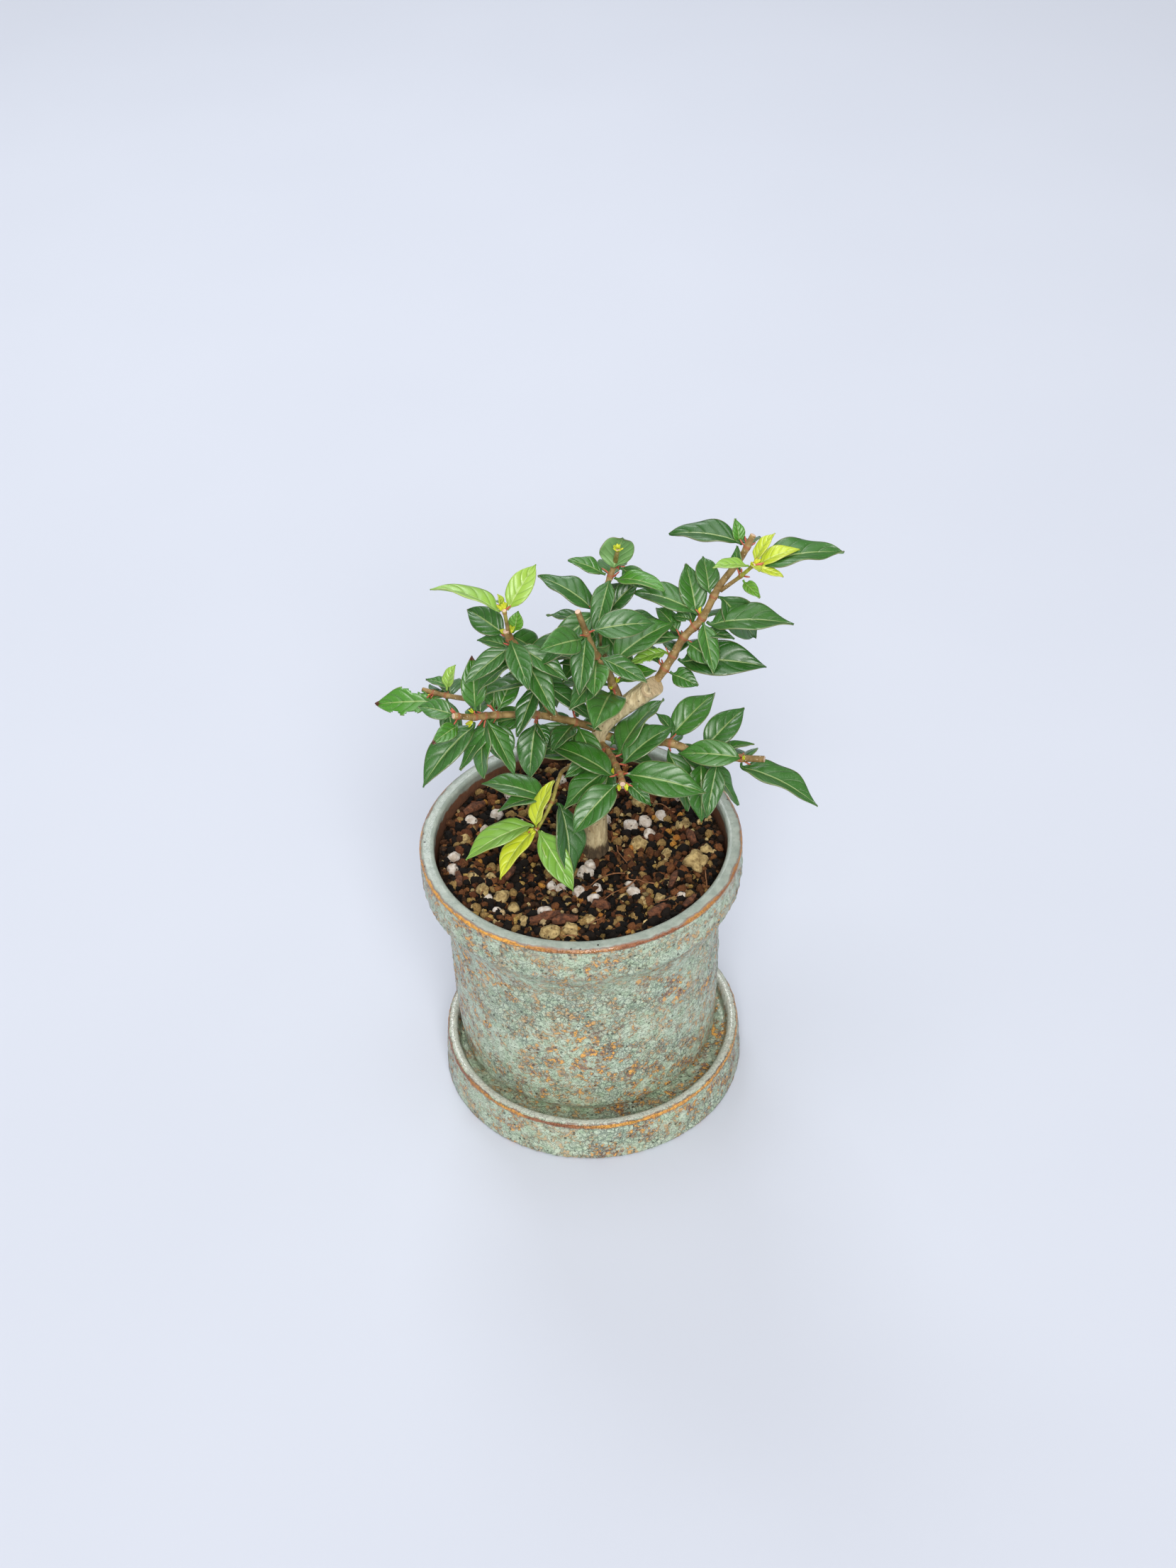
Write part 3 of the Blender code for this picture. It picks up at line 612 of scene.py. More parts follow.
def make_leaf(name, top):
    """Leaf skin: its green follows the painted tint, with veins, a fine edge line and a soft bloom; on its
    top a deeper green is partly painted shade, darkest in the vein grooves so the puffs between them carry
    painted sheen.
    """
    material, nodes, shader, place = new_material(name, Specular_IOR_Level=0.75)
    marks = tint_parts(nodes)
    uv_map = nodes.add("ShaderNodeUVMap", uv_map="UVMap").outputs[0]
    veins = nodes.group(LEAF_VEINS, vector=uv_map, pairs=VEIN_PAIRS, lean=VEIN_LEAN)
    midrib, side_veins, edge, quilt = [veins[index] for index in range(4)]
    greens = nodes.add("ShaderNodeValToRGB", {0: marks[1]})
    stops = TOP_GREENS if top else BACK_GREENS
    ramp = greens.color_ramp
    while len(ramp.elements) < len(stops):
        ramp.elements.new(0.5)
    for element, spot, colour in zip(ramp.elements, YELLOWING, stops):
        element.position = spot
        element.color = colour
    colour = greens.outputs[0]
    cloud = nodes.mottle(place, 260, 4, 0.3, 0.7)
    tone = nodes.times(nodes.plus(marks[0], nodes.times(cloud, 0.3)), 0.8, True)
    colour = nodes.mix(tone, colour, nodes.mix(0.4, colour, paint(104, 162, 84)))
    # A deeper green over the leaf top, less on yellow leaves: partly the top's own darker green, partly
    # painted shade, laid on most in the vein grooves so the puffs between the veins read as painted sheen
    strength = nodes.minus(0.62, nodes.times(marks[1], 0.54))
    deep = nodes.mix(strength, colour, paint(20, 66, 10))
    if top:
        colour = nodes.mix(nodes.plus(0.25, nodes.times(quilt, 0.35)), deep, colour)
    grain = nodes.specks(place, 2600, 0.4, 0.4)
    colour = nodes.layer(colour, grain, 0.12, paint(180, 206, 160))
    vein_colour = nodes.mix(0.5, colour, paint(160, 194, 120))
    colour = nodes.layer(colour, side_veins, 0.26, vein_colour)
    colour = nodes.mix(midrib, colour, nodes.mix(0.44, colour, paint(196, 214, 140)))
    colour = nodes.layer(colour, edge, 0.55, nodes.mix(0.5, colour, paint(196, 176, 140)))
    brown = nodes.fray(marks[2], cloud, 0.3)
    colour = nodes.mix(nodes.ramp(brown, 0.35, 0.6), colour, paint(96, 52, 34))
    height = nodes.minus(nodes.times(quilt, 0.4), nodes.times(side_veins, 0.35))
    height = nodes.minus(height, nodes.times(midrib, 0.5))
    height = nodes.plus(height, nodes.times(grain, 0.1))
    if not top:
        height = nodes.times(height, -1.0)
    rough = nodes.plus(0.29 if top else 0.5, nodes.times(cloud, 0.12))
    finish_shader(nodes, shader, colour, rough, height, 0.16 * MM)
    return material


def make_plain_skin(name, low, high, roughness):
    """A small part's skin with a soft change of colour."""
    material, nodes, shader, place = new_material(name, Roughness=roughness)
    cloud = nodes.mottle(place, 800, 3, 0.3, 0.7)
    finish_shader(nodes, shader, nodes.mix(cloud, low, high), None, cloud, 0.1 * MM)
    return material


GLAZE = make_glaze()
SOIL_BED = make_soil_bed()
GRAIN = make_grain()
PERLITE = make_stone("perlite", paint(226, 218, 210), paint(176, 158, 140), 1000, 0.26, 0.8)
PUMICE = make_stone("pumice", paint(204, 178, 122), paint(122, 98, 58), 900, 0.34, 0.9)
CHIP = make_chip()
ROOT_FIBRE = make_plain_skin("root_fibre", paint(110, 70, 40), paint(160, 108, 70), 0.8)
BARK = make_bark()
TWIG_BARK = make_twig_bark()
LEAF_TOP = make_leaf("leaf_top", True)
LEAF_BACK = make_leaf("leaf_back", False)
SCALE_RED = make_plain_skin("scale_red", paint(170, 70, 50), paint(206, 116, 90), 0.6)
BUD_LIME = make_plain_skin("bud_lime", paint(170, 184, 20), paint(214, 216, 60), 0.5)
# A leaf's skins, each followed by its back's, and where those of scales and buds start
LEAF_SKINS = (LEAF_TOP, LEAF_BACK, SCALE_RED, SCALE_RED, BUD_LIME, BUD_LIME)
SCALE_SKIN = 2
BUD_SKIN = 4


# ---------------------------------------------------------------- pot and saucer

def half_section(section, axis, closed=False):
    """A half section of (radius, height), laid out beside its upright axis."""
    shape = bmesh.new()
    corners = [shape.verts.new((axis.x + radius, axis.y, height)) for radius, height in section]
    for pair in zip(corners, corners[1:]):
        shape.edges.new(pair)
    if closed:
        shape.edges.new((corners[-1], corners[0]))
    return shape


def spin_round(shape, axis, steps):
    """Spins a half section round its upright axis and closes it."""
    bmesh.ops.spin(shape, geom=shape.verts[:] + shape.edges[:], cent=(axis.x, axis.y, 0), axis=UP,
                   angle=math.tau, steps=steps, use_merge=True)
    bmesh.ops.remove_doubles(shape, verts=shape.verts, dist=SAME_SEAM)
    bmesh.ops.recalc_face_normals(shape, faces=shape.faces)


def turned(section, axis, closed):
    """A turned shape whose long edges are cut fine wherever they can be seen."""
    shape = half_section(section, axis, closed)
    for edge in list(shape.edges):
        cuts = int(edge.calc_length() / SECTION_STEP)
        hidden = all(v.co.z < RIM_TOP - 14 * MM and (v.co - axis).xy.length < RIM_RADIUS - 8.8 * MM
                     for v in edge.verts)
        if cuts and not hidden:
            bmesh.ops.subdivide_edges(shape, edges=[edge], cuts=cuts)
    spin_round(shape, axis, ROUND_STEPS)
    return shape


def hump(value, middle, reach):
    """1 at the middle, fading to 0 at its reach either side."""
    gap = abs(value - middle) / reach
    return max(0.0, 1.0 - gap * gap) if gap < 1 else 0.0


def step_up(value, low, high):
    """0 below low, 1 above high, smooth between."""
    t = min(max((value - low) / (high - low), 0.0), 1.0)
    return t * t * (3 - 2 * t)


def roughen(shape, axis, zone_at):
    """Paints each place's zones, then lifts and pits the glaze wherever it isn't smooth."""
    tint = shape.verts.layers.float_color.new("tint")
    shape.normal_update()
    moves = []
    for vert in shape.verts:
        radius = (vert.co - axis).xy.length
        zones, rough = zone_at(radius, vert.co.z, vert.co)
        vert[tint] = (*zones, 1)
        spot = vert.co * 1000
        lumps = noise.noise(spot * 0.16) * 0.30 + noise.noise(spot * 0.42 + Vector((7, 3, 1))) * 0.20
        grit = noise.noise(spot * 1.05 + Vector((2, 9, 4))) * 0.24
        pit = noise.voronoi(spot * 0.55)[0][0]
        dents = -0.36 * (1 - step_up(pit, 0.05, 0.34))
        ridge = 0.12 * (1 - abs(noise.noise(spot * 0.75 + Vector((5, 5, 5)))) * 4)
        relief = (lumps + grit + dents + max(ridge, 0) - 0.12) * rough
        moves.append((vert, vert.normal * relief * MM))
    for vert, move in moves:
        vert.co += move


def pot_zones(radius, height, spot):
    """Gold line on the rim's outer edge, the smooth lip, the rusty inner wall, and how rough it is."""
    over_lip = height > RIM_TOP - 1.2 * MM
    gold = hump(height, RIM_TOP - 0.65 * MM, 0.72 * MM) if radius > RIM_RADIUS - 0.9 * MM else 0.0
    lip = 1.0 if over_lip and radius < RIM_RADIUS - 0.35 * MM else 0.0
    inside = height > SOIL_TOP - 6 * MM and radius < RIM_RADIUS - 3.6 * MM
    rust = step_up(RIM_TOP - height, 0.8 * MM, 3.5 * MM) * 0.9 if inside else 0.0
    if inside:
        lip = 1.0
    visible = radius > RIM_RADIUS - 9 * MM
    rough = 0.04 if lip else (1.0 if visible else 0.2)
    rough *= 1 - 0.85 * step_up(height, RIM_TOP - 4.5 * MM, RIM_TOP - 1.5 * MM)
    if height < POT_FOOT + 0.5 * MM:
        rough = 0.0
    return (gold, lip, rust), rough


def saucer_zones(radius, height, spot):
    """The same for the saucer: a gold line round its outer top edge and a smooth top that also takes a
    painted highlight.
    """
    gold = hump(height, SAUCER_TOP - 0.9 * MM, 0.68 * MM) if radius > SAUCER_FOOT_RADIUS - 1.9 * MM else 0.0
    top = 0.0
    if radius < SAUCER_FOOT_RADIUS - 1.5 * MM:
        top = step_up(height, SAUCER_TOP - 1.9 * MM, SAUCER_TOP - 0.9 * MM)
    rough = 1.0 - 0.8 * step_up(height, SAUCER_TOP - 1.8 * MM, SAUCER_TOP - 0.6 * MM)
    rough *= step_up(height, 0.1 * MM, 1.2 * MM)
    if radius < SAUCER_FOOT_RADIUS - 3.3 * MM:
        rough *= step_up(pot_gap(spot), 0.3 * MM, 1.2 * MM)
    # Painted at 0.6, the top's zone gets the glaze's pale painted highlight as well as its lip colour and
    # lower roughness
    return (gold, top * 0.6, 0.0), rough


def pot_gap(spot):
    """How far a place in the saucer lies outside the pot's foot."""
    return (spot - POT_AXIS).xy.length - (RIM_RADIUS - 11 * MM)


def fill_moat(shape):
    """Lifts the glazed slope between the saucer's wall and the pot, down to a narrow gap at the foot."""
    for vert in shape.verts:
        away = (vert.co - SAUCER_AXIS).xy.length
        if away > SAUCER_FOOT_RADIUS - 3.4 * MM or vert.co.z < 3 * MM:
            continue
        gap = pot_gap(vert.co)
        slope = (4.0 * step_up(gap, 0.5 * MM, 2.0 * MM) + 0.28 * max(gap / MM - 1.9, 0)) * MM
        vert.co.z = max(vert.co.z, POT_FOOT - 0.3 * MM + slope)


def make_ware():
    """The pot and its saucer."""
    section = [(RIM_RADIUS - inset * MM, POT_FOOT + height * MM) for inset, height in POT_SECTION]
    pot = turned(section, POT_AXIS, True)
    roughen(pot, POT_AXIS, pot_zones)
    add_piece("glazed_pot", pot, [GLAZE], ["pot"])
    section = [(SAUCER_FOOT_RADIUS - inset * MM, height * MM) for inset, height in SAUCER_SECTION]
    saucer = turned(section, SAUCER_AXIS, False)
    fill_moat(saucer)
    roughen(saucer, SAUCER_AXIS, saucer_zones)
    add_piece("glazed_saucer", saucer, [GLAZE], ["saucer"])


# ---------------------------------------------------------------- soil

def soil_height(x, y):
    """Top of the soil bed at a place: gentle heaps, banked up towards the wall."""
    away = Vector((x - POT_AXIS.x, y - POT_AXIS.y)) / SOIL_RADIUS
    heap = noise.noise(Vector((x, y, 0)) * 90) * 0.9 + noise.noise(Vector((x, y, 3)) * 260) * 0.4
    bank = 3.6 * step_up(away.length, 0.35, 1.0)
    return SOIL_TOP + (heap - 0.9 + bank - 0.3 * (away.x + away.y)) * MM


def make_soil_body():
    """The bed of soil that the grains lie on, down to the pot's floor."""
    bottom = SOIL_LOW.z
    section = [(0, bottom), (RIM_RADIUS - 15 * MM, bottom), (RIM_RADIUS - 12.4 * MM, bottom + 5 * MM),
               (RIM_RADIUS - 11.1 * MM, RIM_TOP - 22.5 * MM), (SOIL_RADIUS - 5 * MM, SOIL_TOP - 9 * MM),
               (SOIL_RADIUS - 0.3 * MM, SOIL_TOP - 3 * MM), (SOIL_RADIUS - 0.2 * MM, SOIL_TOP - 1.1 * MM)]
    section += [(SOIL_RADIUS * (1 - index / SOIL_RINGS), SOIL_TOP - 1.0 * MM)
                for index in range(1, SOIL_RINGS + 1)]
    shape = half_section(section, POT_AXIS)
    spin_round(shape, POT_AXIS, SOIL_ROUND_STEPS)
    for vert in shape.verts:
        if vert.co.z > SOIL_TOP - 1.2 * MM:
            vert.co.z = soil_height(vert.co.x, vert.co.y)
    add_piece("soil_bed", shape, [SOIL_BED], ["soil"])


def in_pot(right, back):
    """A place in the pot, from how far it is right and back of the axis, in mm."""
    return POT_AXIS.x + right * MM, POT_AXIS.y + back * MM


def any_place(chance, share):
    """A place anywhere on the soil within a share of its radius."""
    angle = chance.uniform(0, math.tau)
    away = SOIL_RADIUS * share * math.sqrt(chance.random())
    return POT_AXIS.x + away * math.cos(angle), POT_AXIS.y + away * math.sin(angle)


def random_turn(chance):
    """A turn to any direction."""
    axis = Vector((chance.gauss(0, 1), chance.gauss(0, 1), chance.gauss(0, 1)))
    return Matrix.Rotation(chance.uniform(0, math.tau), 3, axis)


def pebbles(name, spots, cuts, lumpiness, material, seed, smooth):
    """Many small stones in one piece; spots are (place, size, flatness, colour)."""
    chance = random.Random(seed)
    one = bmesh.new()
    bmesh.ops.create_icosphere(one, subdivisions=cuts, radius=1)
    one.verts.ensure_lookup_table()
    unit = [vert.co.copy() for vert in one.verts]
    stone = bpy.data.meshes.new("stone")
    one.to_mesh(stone)
    one.free()
    shape = bmesh.new()
    tint = shape.verts.layers.float_color.new("tint")
    for _ in spots:
        shape.from_mesh(stone)
    bpy.data.meshes.remove(stone)
    shape.verts.ensure_lookup_table()
    index = 0
    for place, size, flatness, colour in spots:
        turn = random_turn(chance)
        seat = chance.uniform(0, 1000)
        stretch = Vector((1, chance.uniform(0.75, 1.0), flatness))
        for corner in unit:
            lump = 1 + lumpiness * noise.noise(corner * 1.3 + Vector((seat, 0, 0))) * 1.6
            lump += lumpiness * 0.5 * noise.noise(corner * 3.1 + Vector((0, seat, 0)))
            vert = shape.verts[index]
            vert.co = place + turn @ (corner * stretch * lump) * size
            vert[tint] = colour
            index += 1
    add_piece(name, shape, [material], (), smooth)


def near_trunk(x, y):
    """Whether a place in the soil lies under the trunk."""
    foot = Vector((TRUNK_LOW.x + 4.2 * MM, (TRUNK_LOW.y + TRUNK_HIGH.y) / 2))
    return (Vector((x, y)) - foot).length < 3.6 * MM


# Stones that stand out: right and back of the pot's axis, and size, in mm
PERLITE_SPOTS = ((-35.5, -2, 1.7), (-35.8, -7, 1.5), (-24, 17, 1.8), (-27, 10, 1.6), (-17, 14, 1.5),
                 (-31, 14, 1.6), (7.2, 15, 1.6), (14.5, 12.5, 1.9), (18.5, 13.5, 1.8), (23, 15, 1.7),
                 (19.5, 8.5, 1.6), (1, -6.5, 2.2), (2.4, -3.5, 1.7), (-8.6, -11.5, 1.4), (-6, -12.5, 1.5),
                 (-1, -13.8, 1.7), (4, -13, 1.5), (3.2, -18, 1.9), (13, -12, 1.3), (14, -16, 1.7),
                 (-10.5, -23.5, 2.0), (27, -20, 1.3), (-26, -17, 1.2), (-23.5, -23, 1.1), (12, 27, 1.6),
                 (-5, 31, 1.7), (28, 22, 1.5), (-20, 25, 1.4))
PUMICE_SPOTS = ((16, 5, 2.6), (31.5, -8, 3.4), (-9, -34, 3.0), (-3.5, -33.5, 2.6), (21, -20.5, 2.0),
                (-22.5, -17, 2.2), (-25, -9, 2.0), (-27.5, -15, 2.2), (-19, -22, 1.9), (35, -2, 1.8),
                (24, -1, 1.8), (7.5, -15, 1.6), (11, -18, 1.6), (2, -28, 1.9), (-30.5, -10, 2.0),
                (-16, -28, 1.8), (17, 20, 2.2), (-12, 24, 2.4), (0, 25, 2.0), (29, 9, 2.0), (-33, 6, 1.8))


# How far apart the grains are strewn, and how many crumbs and bits of ochre grit lie on them
GRAIN_PITCH = 1.5 * MM
CRUMB_COUNT = 620
GRIT_COUNT = 60


def make_soil():
    """Grains, perlite, pumice, bark chips and root fibres on the bed."""
    make_soil_body()
    chance = random.Random(11)
    spots = []
    rows = int(SOIL_RADIUS / GRAIN_PITCH) + 1
    for layer in range(2):
        for column in range(-rows, rows + 1):
            for row in range(-rows, rows + 1):
                x = (column + chance.uniform(-0.45, 0.45) + 0.5 * (row % 2)) * GRAIN_PITCH
                y = (row + chance.uniform(-0.45, 0.45)) * GRAIN_PITCH * 0.9
                keep = chance.random() < (1.0 if layer == 0 else 0.22)
                pick = chance.random()
                size = chance.uniform(0.6, 1.3) * MM
                turn = chance.uniform(0.6, 1.0)
                shade = chance.uniform(0.4, 1.5)
                if not keep or math.hypot(x, y) > SOIL_RADIUS - 0.9 * MM:
                    continue
                x += POT_AXIS.x
                y += POT_AXIS.y
                if near_trunk(x, y):
                    continue
                _, growth, paint_of_kind = [kind for kind in GRAIN_KINDS if pick <= kind[0]][0]
                height = soil_height(x, y) + (0.35 if layer == 0 else 1.15) * size
                colour = tuple(min(part * shade, 1) for part in paint_of_kind[:3]) + (1,)
                spots.append((Vector((x, y, height)), size * growth * 1.25, turn, colour))
    half = len(spots) // 2
    pebbles("soil_grains_a", spots[:half], 1, 0.35, GRAIN, 21, False)
    pebbles("soil_grains_b", spots[half:], 1, 0.35, GRAIN, 22, False)
    crumbs = []
    for _ in range(CRUMB_COUNT):
        x, y = any_place(chance, 0.96)
        if near_trunk(x, y):
            continue
        size = chance.uniform(0.9, 1.7) * MM
        colour = chance.choice(CRUMB_COLOURS)
        height = soil_height(x, y) + size * 0.55
        crumbs.append((Vector((x, y, height)), size, chance.uniform(0.65, 0.9), colour))
    pebbles("soil_crumbs", crumbs, 2, 0.3, GRAIN, 23, True)
    grit = []
    for _ in range(GRIT_COUNT):
        x, y = any_place(chance, 0.94)
        size = chance.uniform(0.6, 1.15) * MM
        colour = chance.choice(GRIT_COLOURS)
        grit.append((Vector((x, y, soil_height(x, y) + size * 1.0)), size, 0.8, colour))
    x, y = in_pot(33.5, -4)
    grit.append((Vector((x, y, SOIL_TOP + 0.9 * MM)), 2.1 * MM, 0.7, paint(232, 166, 80)))
    pebbles("ochre_grit", grit, 2, 0.3, GRAIN, 24, True)
    stone_kinds = (("perlite_stones", PERLITE_SPOTS, PERLITE, 0.16, 1.16, 25),
                   ("pumice_stones", PUMICE_SPOTS, PUMICE, 0.3, 0.92, 26))
    for name, rows, material, lumps, grow, seed in stone_kinds:
        stones = []
        for right, back, size in rows:
            x, y = in_pot(right, back)
            height = soil_height(x, y) + size * 0.55 * MM
            flatness = chance.uniform(0.75, 0.95)
            stones.append((Vector((x, y, height)), size * grow * MM, flatness, (1, 1, 1, 1)))
        pebbles(name, stones, 3, lumps, material, seed, True)
    make_chips(chance)
    make_fibres(chance)


# Root fibres: right and back of the pot's axis, heading in degrees, length in mm
FIBRE_SPOTS = ((12, -8, 200, 14), (15, -11, 215, 16), (20, -14, 170, 8), (34, -12, 250, 13),
               (6, -26, 250, 8), (-8, -8, 300, 8), (20, -23, 10, 7), (-18, 16, 330, 10),
               (-28, -18, 90, 7), (10, 4, 290, 9), (-2, -36, 170, 6), (27, 14, 120, 9))

# Bark chips: right and back of the pot's axis, length in mm, heading in degrees
CHIP_SPOTS = ((-27, 3, 9.5, 50), (-10.5, -27, 9, 12), (-5, -29.5, 7, 5), (25, -14, 6, 70),
              (-34, -12, 5, 100), (8, 22, 7, 20), (-15, 5, 6, 140), (20, -27, 6, 35), (31, 3, 5, 110),
              (-20, -8, 5, 60), (5, -21, 5, 160), (-30, 18, 7, 30), (29, -24, 5, 50), (0, 12, 6, 75))


def make_chips(chance):
    """Splinters of bark lying in the soil."""
    shape = bmesh.new()
    for right, back, length, heading in CHIP_SPOTS:
        x, y = in_pot(right, back)
        way = Vector((math.cos(math.radians(heading)), math.sin(math.radians(heading)), 0.08))
        middle = Vector((x, y, soil_height(x, y) + 2.3 * MM))
        bend = Vector((0, 0, chance.uniform(-0.4, 0.6) * MM))
        ends = [middle - way * length / 2 * MM, middle + bend, middle + way * length / 2 * MM]
        line = Line(ends, [0.9 * MM, 1.5 * MM, 0.8 * MM])
        seat = chance.uniform(0, 99)

        def radius_at(distance, angle, radius, spot):
            ripple = 0.3 * noise.noise(Vector((angle * 1.6 + seat, distance * 260, seat)))
            flat = 1.0 - 0.35 * abs(math.sin(angle))
            return radius * (flat + ripple)

        tube(shape, line, 12, 0.5 * MM, radius_at, lambda *place: PLAIN)
    add_piece("bark_chips", shape, [CHIP])


def make_fibres(chance):
    """Fine dry roots that lie over the soil."""
    shape = bmesh.new()
    for right, back, heading, length in FIBRE_SPOTS:
        x, y = in_pot(right, back)
        points = []
        for _ in range(6):
            points.append(Vector((x, y, soil_height(x, y) + chance.uniform(1.7, 2.6) * MM)))
            heading += chance.uniform(-22, 22)
            x += length / 5 * MM * math.cos(math.radians(heading))
            y += length / 5 * MM * math.sin(math.radians(heading))
        line = Line(points, [0.2 * MM, 0.19 * MM, 0.17 * MM, 0.15 * MM, 0.13 * MM, 0.1 * MM])
        tube(shape, line, 6, 0.8 * MM, plain_radius, lambda *place: PLAIN)
    add_piece("root_fibres", shape, [ROOT_FIBRE])


# ---------------------------------------------------------------- wood

def layers_from(start, count):
    """Rings of corners at one, two, three... edges from a set of corners."""
    seen = set(start)
    current = list(start)
    rings = []
    while current and len(rings) < count:
        ahead = []
        for vert in current:
            for edge in vert.link_edges:
                other = edge.other_vert(vert)
                if other not in seen:
                    seen.add(other)
                    ahead.append(other)
        if ahead:
            rings.append(ahead)
        current = ahead
    return rings


def middle_of(verts):
    """Middle of some corners."""
    total = Vector((0, 0, 0))
    for vert in verts:
        total += vert.co
    return total / len(verts)


def cut_faces(shape, sides):
    """Sets of corners of the flat end faces that have this many sides."""
    found = []
    seen = set()
    for face in shape.faces:
        if face in seen:
            continue
        flat = {face}
        queue = [face]
        while queue:
            for edge in queue.pop().edges:
                for other in edge.link_faces:
                    if other not in flat and other.normal.angle(face.normal, 9) < 0.01:
                        flat.add(other)
                        queue.append(other)
        seen |= flat
        corners = {vert for part in flat for vert in part.verts}
        if len(flat) == sides - 2 and len(corners) == sides:
            found.append(corners)
    return found


def stem_line(node, sides, sunk):
    """The middle line and radii of a stem, from inside its parent to its cut end."""
    shape = merged(node)
    shape.normal_update()
    ends = cut_faces(shape, sides)
    if node == "trunk":
        end = max(ends, key=lambda corners: middle_of(corners).z)
    else:
        end = max(ends, key=lambda corners: (middle_of(corners) - POT_AXIS).xy.length)
    rings = [sorted(end, key=lambda vert: vert.index)]
    for ring in layers_from(rings[0], 40):
        if len(ring) != sides:
            break
        rings.append(ring)
    used = {vert for ring in rings for vert in ring}
    rest = [vert for vert in shape.verts if vert not in used]
    points = [middle_of(ring) for ring in rings]
    radii = [sum((vert.co - point).length for vert in ring) / sides for ring, point in zip(rings, points)]
    if rest:
        last = middle_of(rest)
        if (last - points[-1]).length > 0.6 * MM:
            points.append(last)
            radii.append(radii[-1] * 1.04)
    way = (points[-1] - points[-2]).normalized()
    points.append(points[-1] + way * sunk)
    radii.append(radii[-1])
    shape.free()
    return Line(points[::-1], radii[::-1])


TWIGS = ("leader", "upper_right_twig", "back_twig", "centre_twig", "left_branch", "centre_left_twig",
         "upper_left_twig", "far_left_twig", "front_twig", "right_branch", "front_left_twig")
# How green and young each twig is, where it isn't woody
YOUNG_TWIGS = {"upper_right_twig": 0.9, "front_left_twig": 0.5, "upper_left_twig": 0.5}
# How much slimmer some are than the frame's
SLIM_TWIGS = {"front_left_twig": 0.72, "left_branch": 0.82, "far_left_twig": 0.85, "leader": 0.92}


def make_trunk():
    """The trunk with its bark, knots and the cut stub at its top."""
    line = stem_line("trunk", 12, 0.5 * MM)
    knots = [(0.44, 1.2, 0.9), (0.63, -1.9, 0.5)]
    # An old pruning scar on the front of the stub: a raised pale ring round grey wood
    scar_middle, _, _, scar_radius = line.place(line.length - 3.4 * MM)
    scar = scar_middle + Vector((0.15, -0.72, 0.68)).normalized() * scar_radius
    scar_size = 1.9 * MM

    def radius_at(distance, angle, radius, spot):
        share = distance / line.length
        fissure = noise.noise(Vector((math.cos(angle) * 3.2, math.sin(angle) * 3.2, distance * 90)))
        fine = noise.noise(Vector((math.cos(angle) * 9, math.sin(angle) * 9, distance * 420)))
        reach = radius * (1 + 0.07 * fissure + 0.035 * fine)
        flare = 1 - step_up(distance, 11 * MM, 19 * MM)
        reach += radius * 0.12 * flare * (1 + 0.6 * math.sin(angle * 3 + 1))
        for at, turn, size in knots:
            gap = math.cos(angle - turn)
            reach += radius * 0.20 * size * hump(share, at, 0.05) * max(gap, 0) ** 2
        off = (spot - scar).length
        reach += 0.35 * MM * hump(off, scar_size, 0.8 * MM) - 0.25 * MM * hump(off, 0, scar_size)
        return reach

    def tint_at(distance, angle, cut, spot):
        share = distance / line.length
        foot = 1 - step_up(spot.z, SOIL_TOP + 2.2 * MM, SOIL_TOP + 6.5 * MM)
        knot = max(size * hump(share, at, 0.045) * max(math.cos(angle - turn), 0)
                   for at, turn, size in knots)
        off = (spot - scar).length
        ring = hump(off, scar_size, 0.7 * MM)
        heart = 0.55 * hump(off, 0, scar_size)
        return max(cut, ring), max(knot, heart), foot, 1

    shape = bmesh.new()
    tube(shape, line, 72, 0.45 * MM, radius_at, tint_at)
    add_piece("trunk_wood", shape, [BARK], ["trunk"])
    return line


def make_twigs(nodes_on):
    """Each twig, a little swollen and red at its nodes and pale where it was cut."""
    lines = {}
    for twig in TWIGS:
        line = stem_line(twig, 8, 1.4 * MM)
        lines[twig] = line
    for twig, line in lines.items():
        joints = [line.nearest(spot) for spot in nodes_on.get(twig, ())]
        young = YOUNG_TWIGS.get(twig, 0.0)
        seat = len(twig) * 3.7
        slim = SLIM_TWIGS.get(twig, 1.0)

        def radius_at(distance, angle, radius, spot):
            swell = max([hump(distance, joint, 1.2 * MM) for joint in joints] + [0])
            across, along = math.cos(angle) * 1.8 + seat, math.sin(angle) * 1.8
            ripple = noise.noise(Vector((across, along, distance * 380)))
            return radius * slim * (0.96 + 0.17 * swell + 0.07 * ripple) + 0.05 * MM * swell

        def tint_at(distance, angle, cut, spot):
            red = max([hump(distance, joint, 0.7 * MM) for joint in joints] + [0])
            return red, cut, young * step_up(distance / line.length, 0.3, 0.8), 1

        shape = bmesh.new()
        tube(shape, line, 20, 0.4 * MM, radius_at, tint_at)
        add_piece("wood_" + twig, shape, [TWIG_BARK], [twig])
    return lines


# ---------------------------------------------------------------- leaves

# Which twig each group of leaves grows on, by the start of its name, the longest first
LEAF_TWIGS = (("leaves_top_right", "leader"), ("leaves_upper_right", "upper_right_twig"),
              ("leaves_back", "back_twig"), ("leaves_centre_left", "centre_left_twig"),
              ("leaves_centre", "centre_twig"), ("leaves_upper_left", "upper_left_twig"),
              ("leaves_far_left", "far_left_twig"), ("leaves_front_left", "front_left_twig"),
              ("leaves_front", "front_twig"), ("leaves_left", "left_branch"),
              ("leaves_right", "right_branch"))

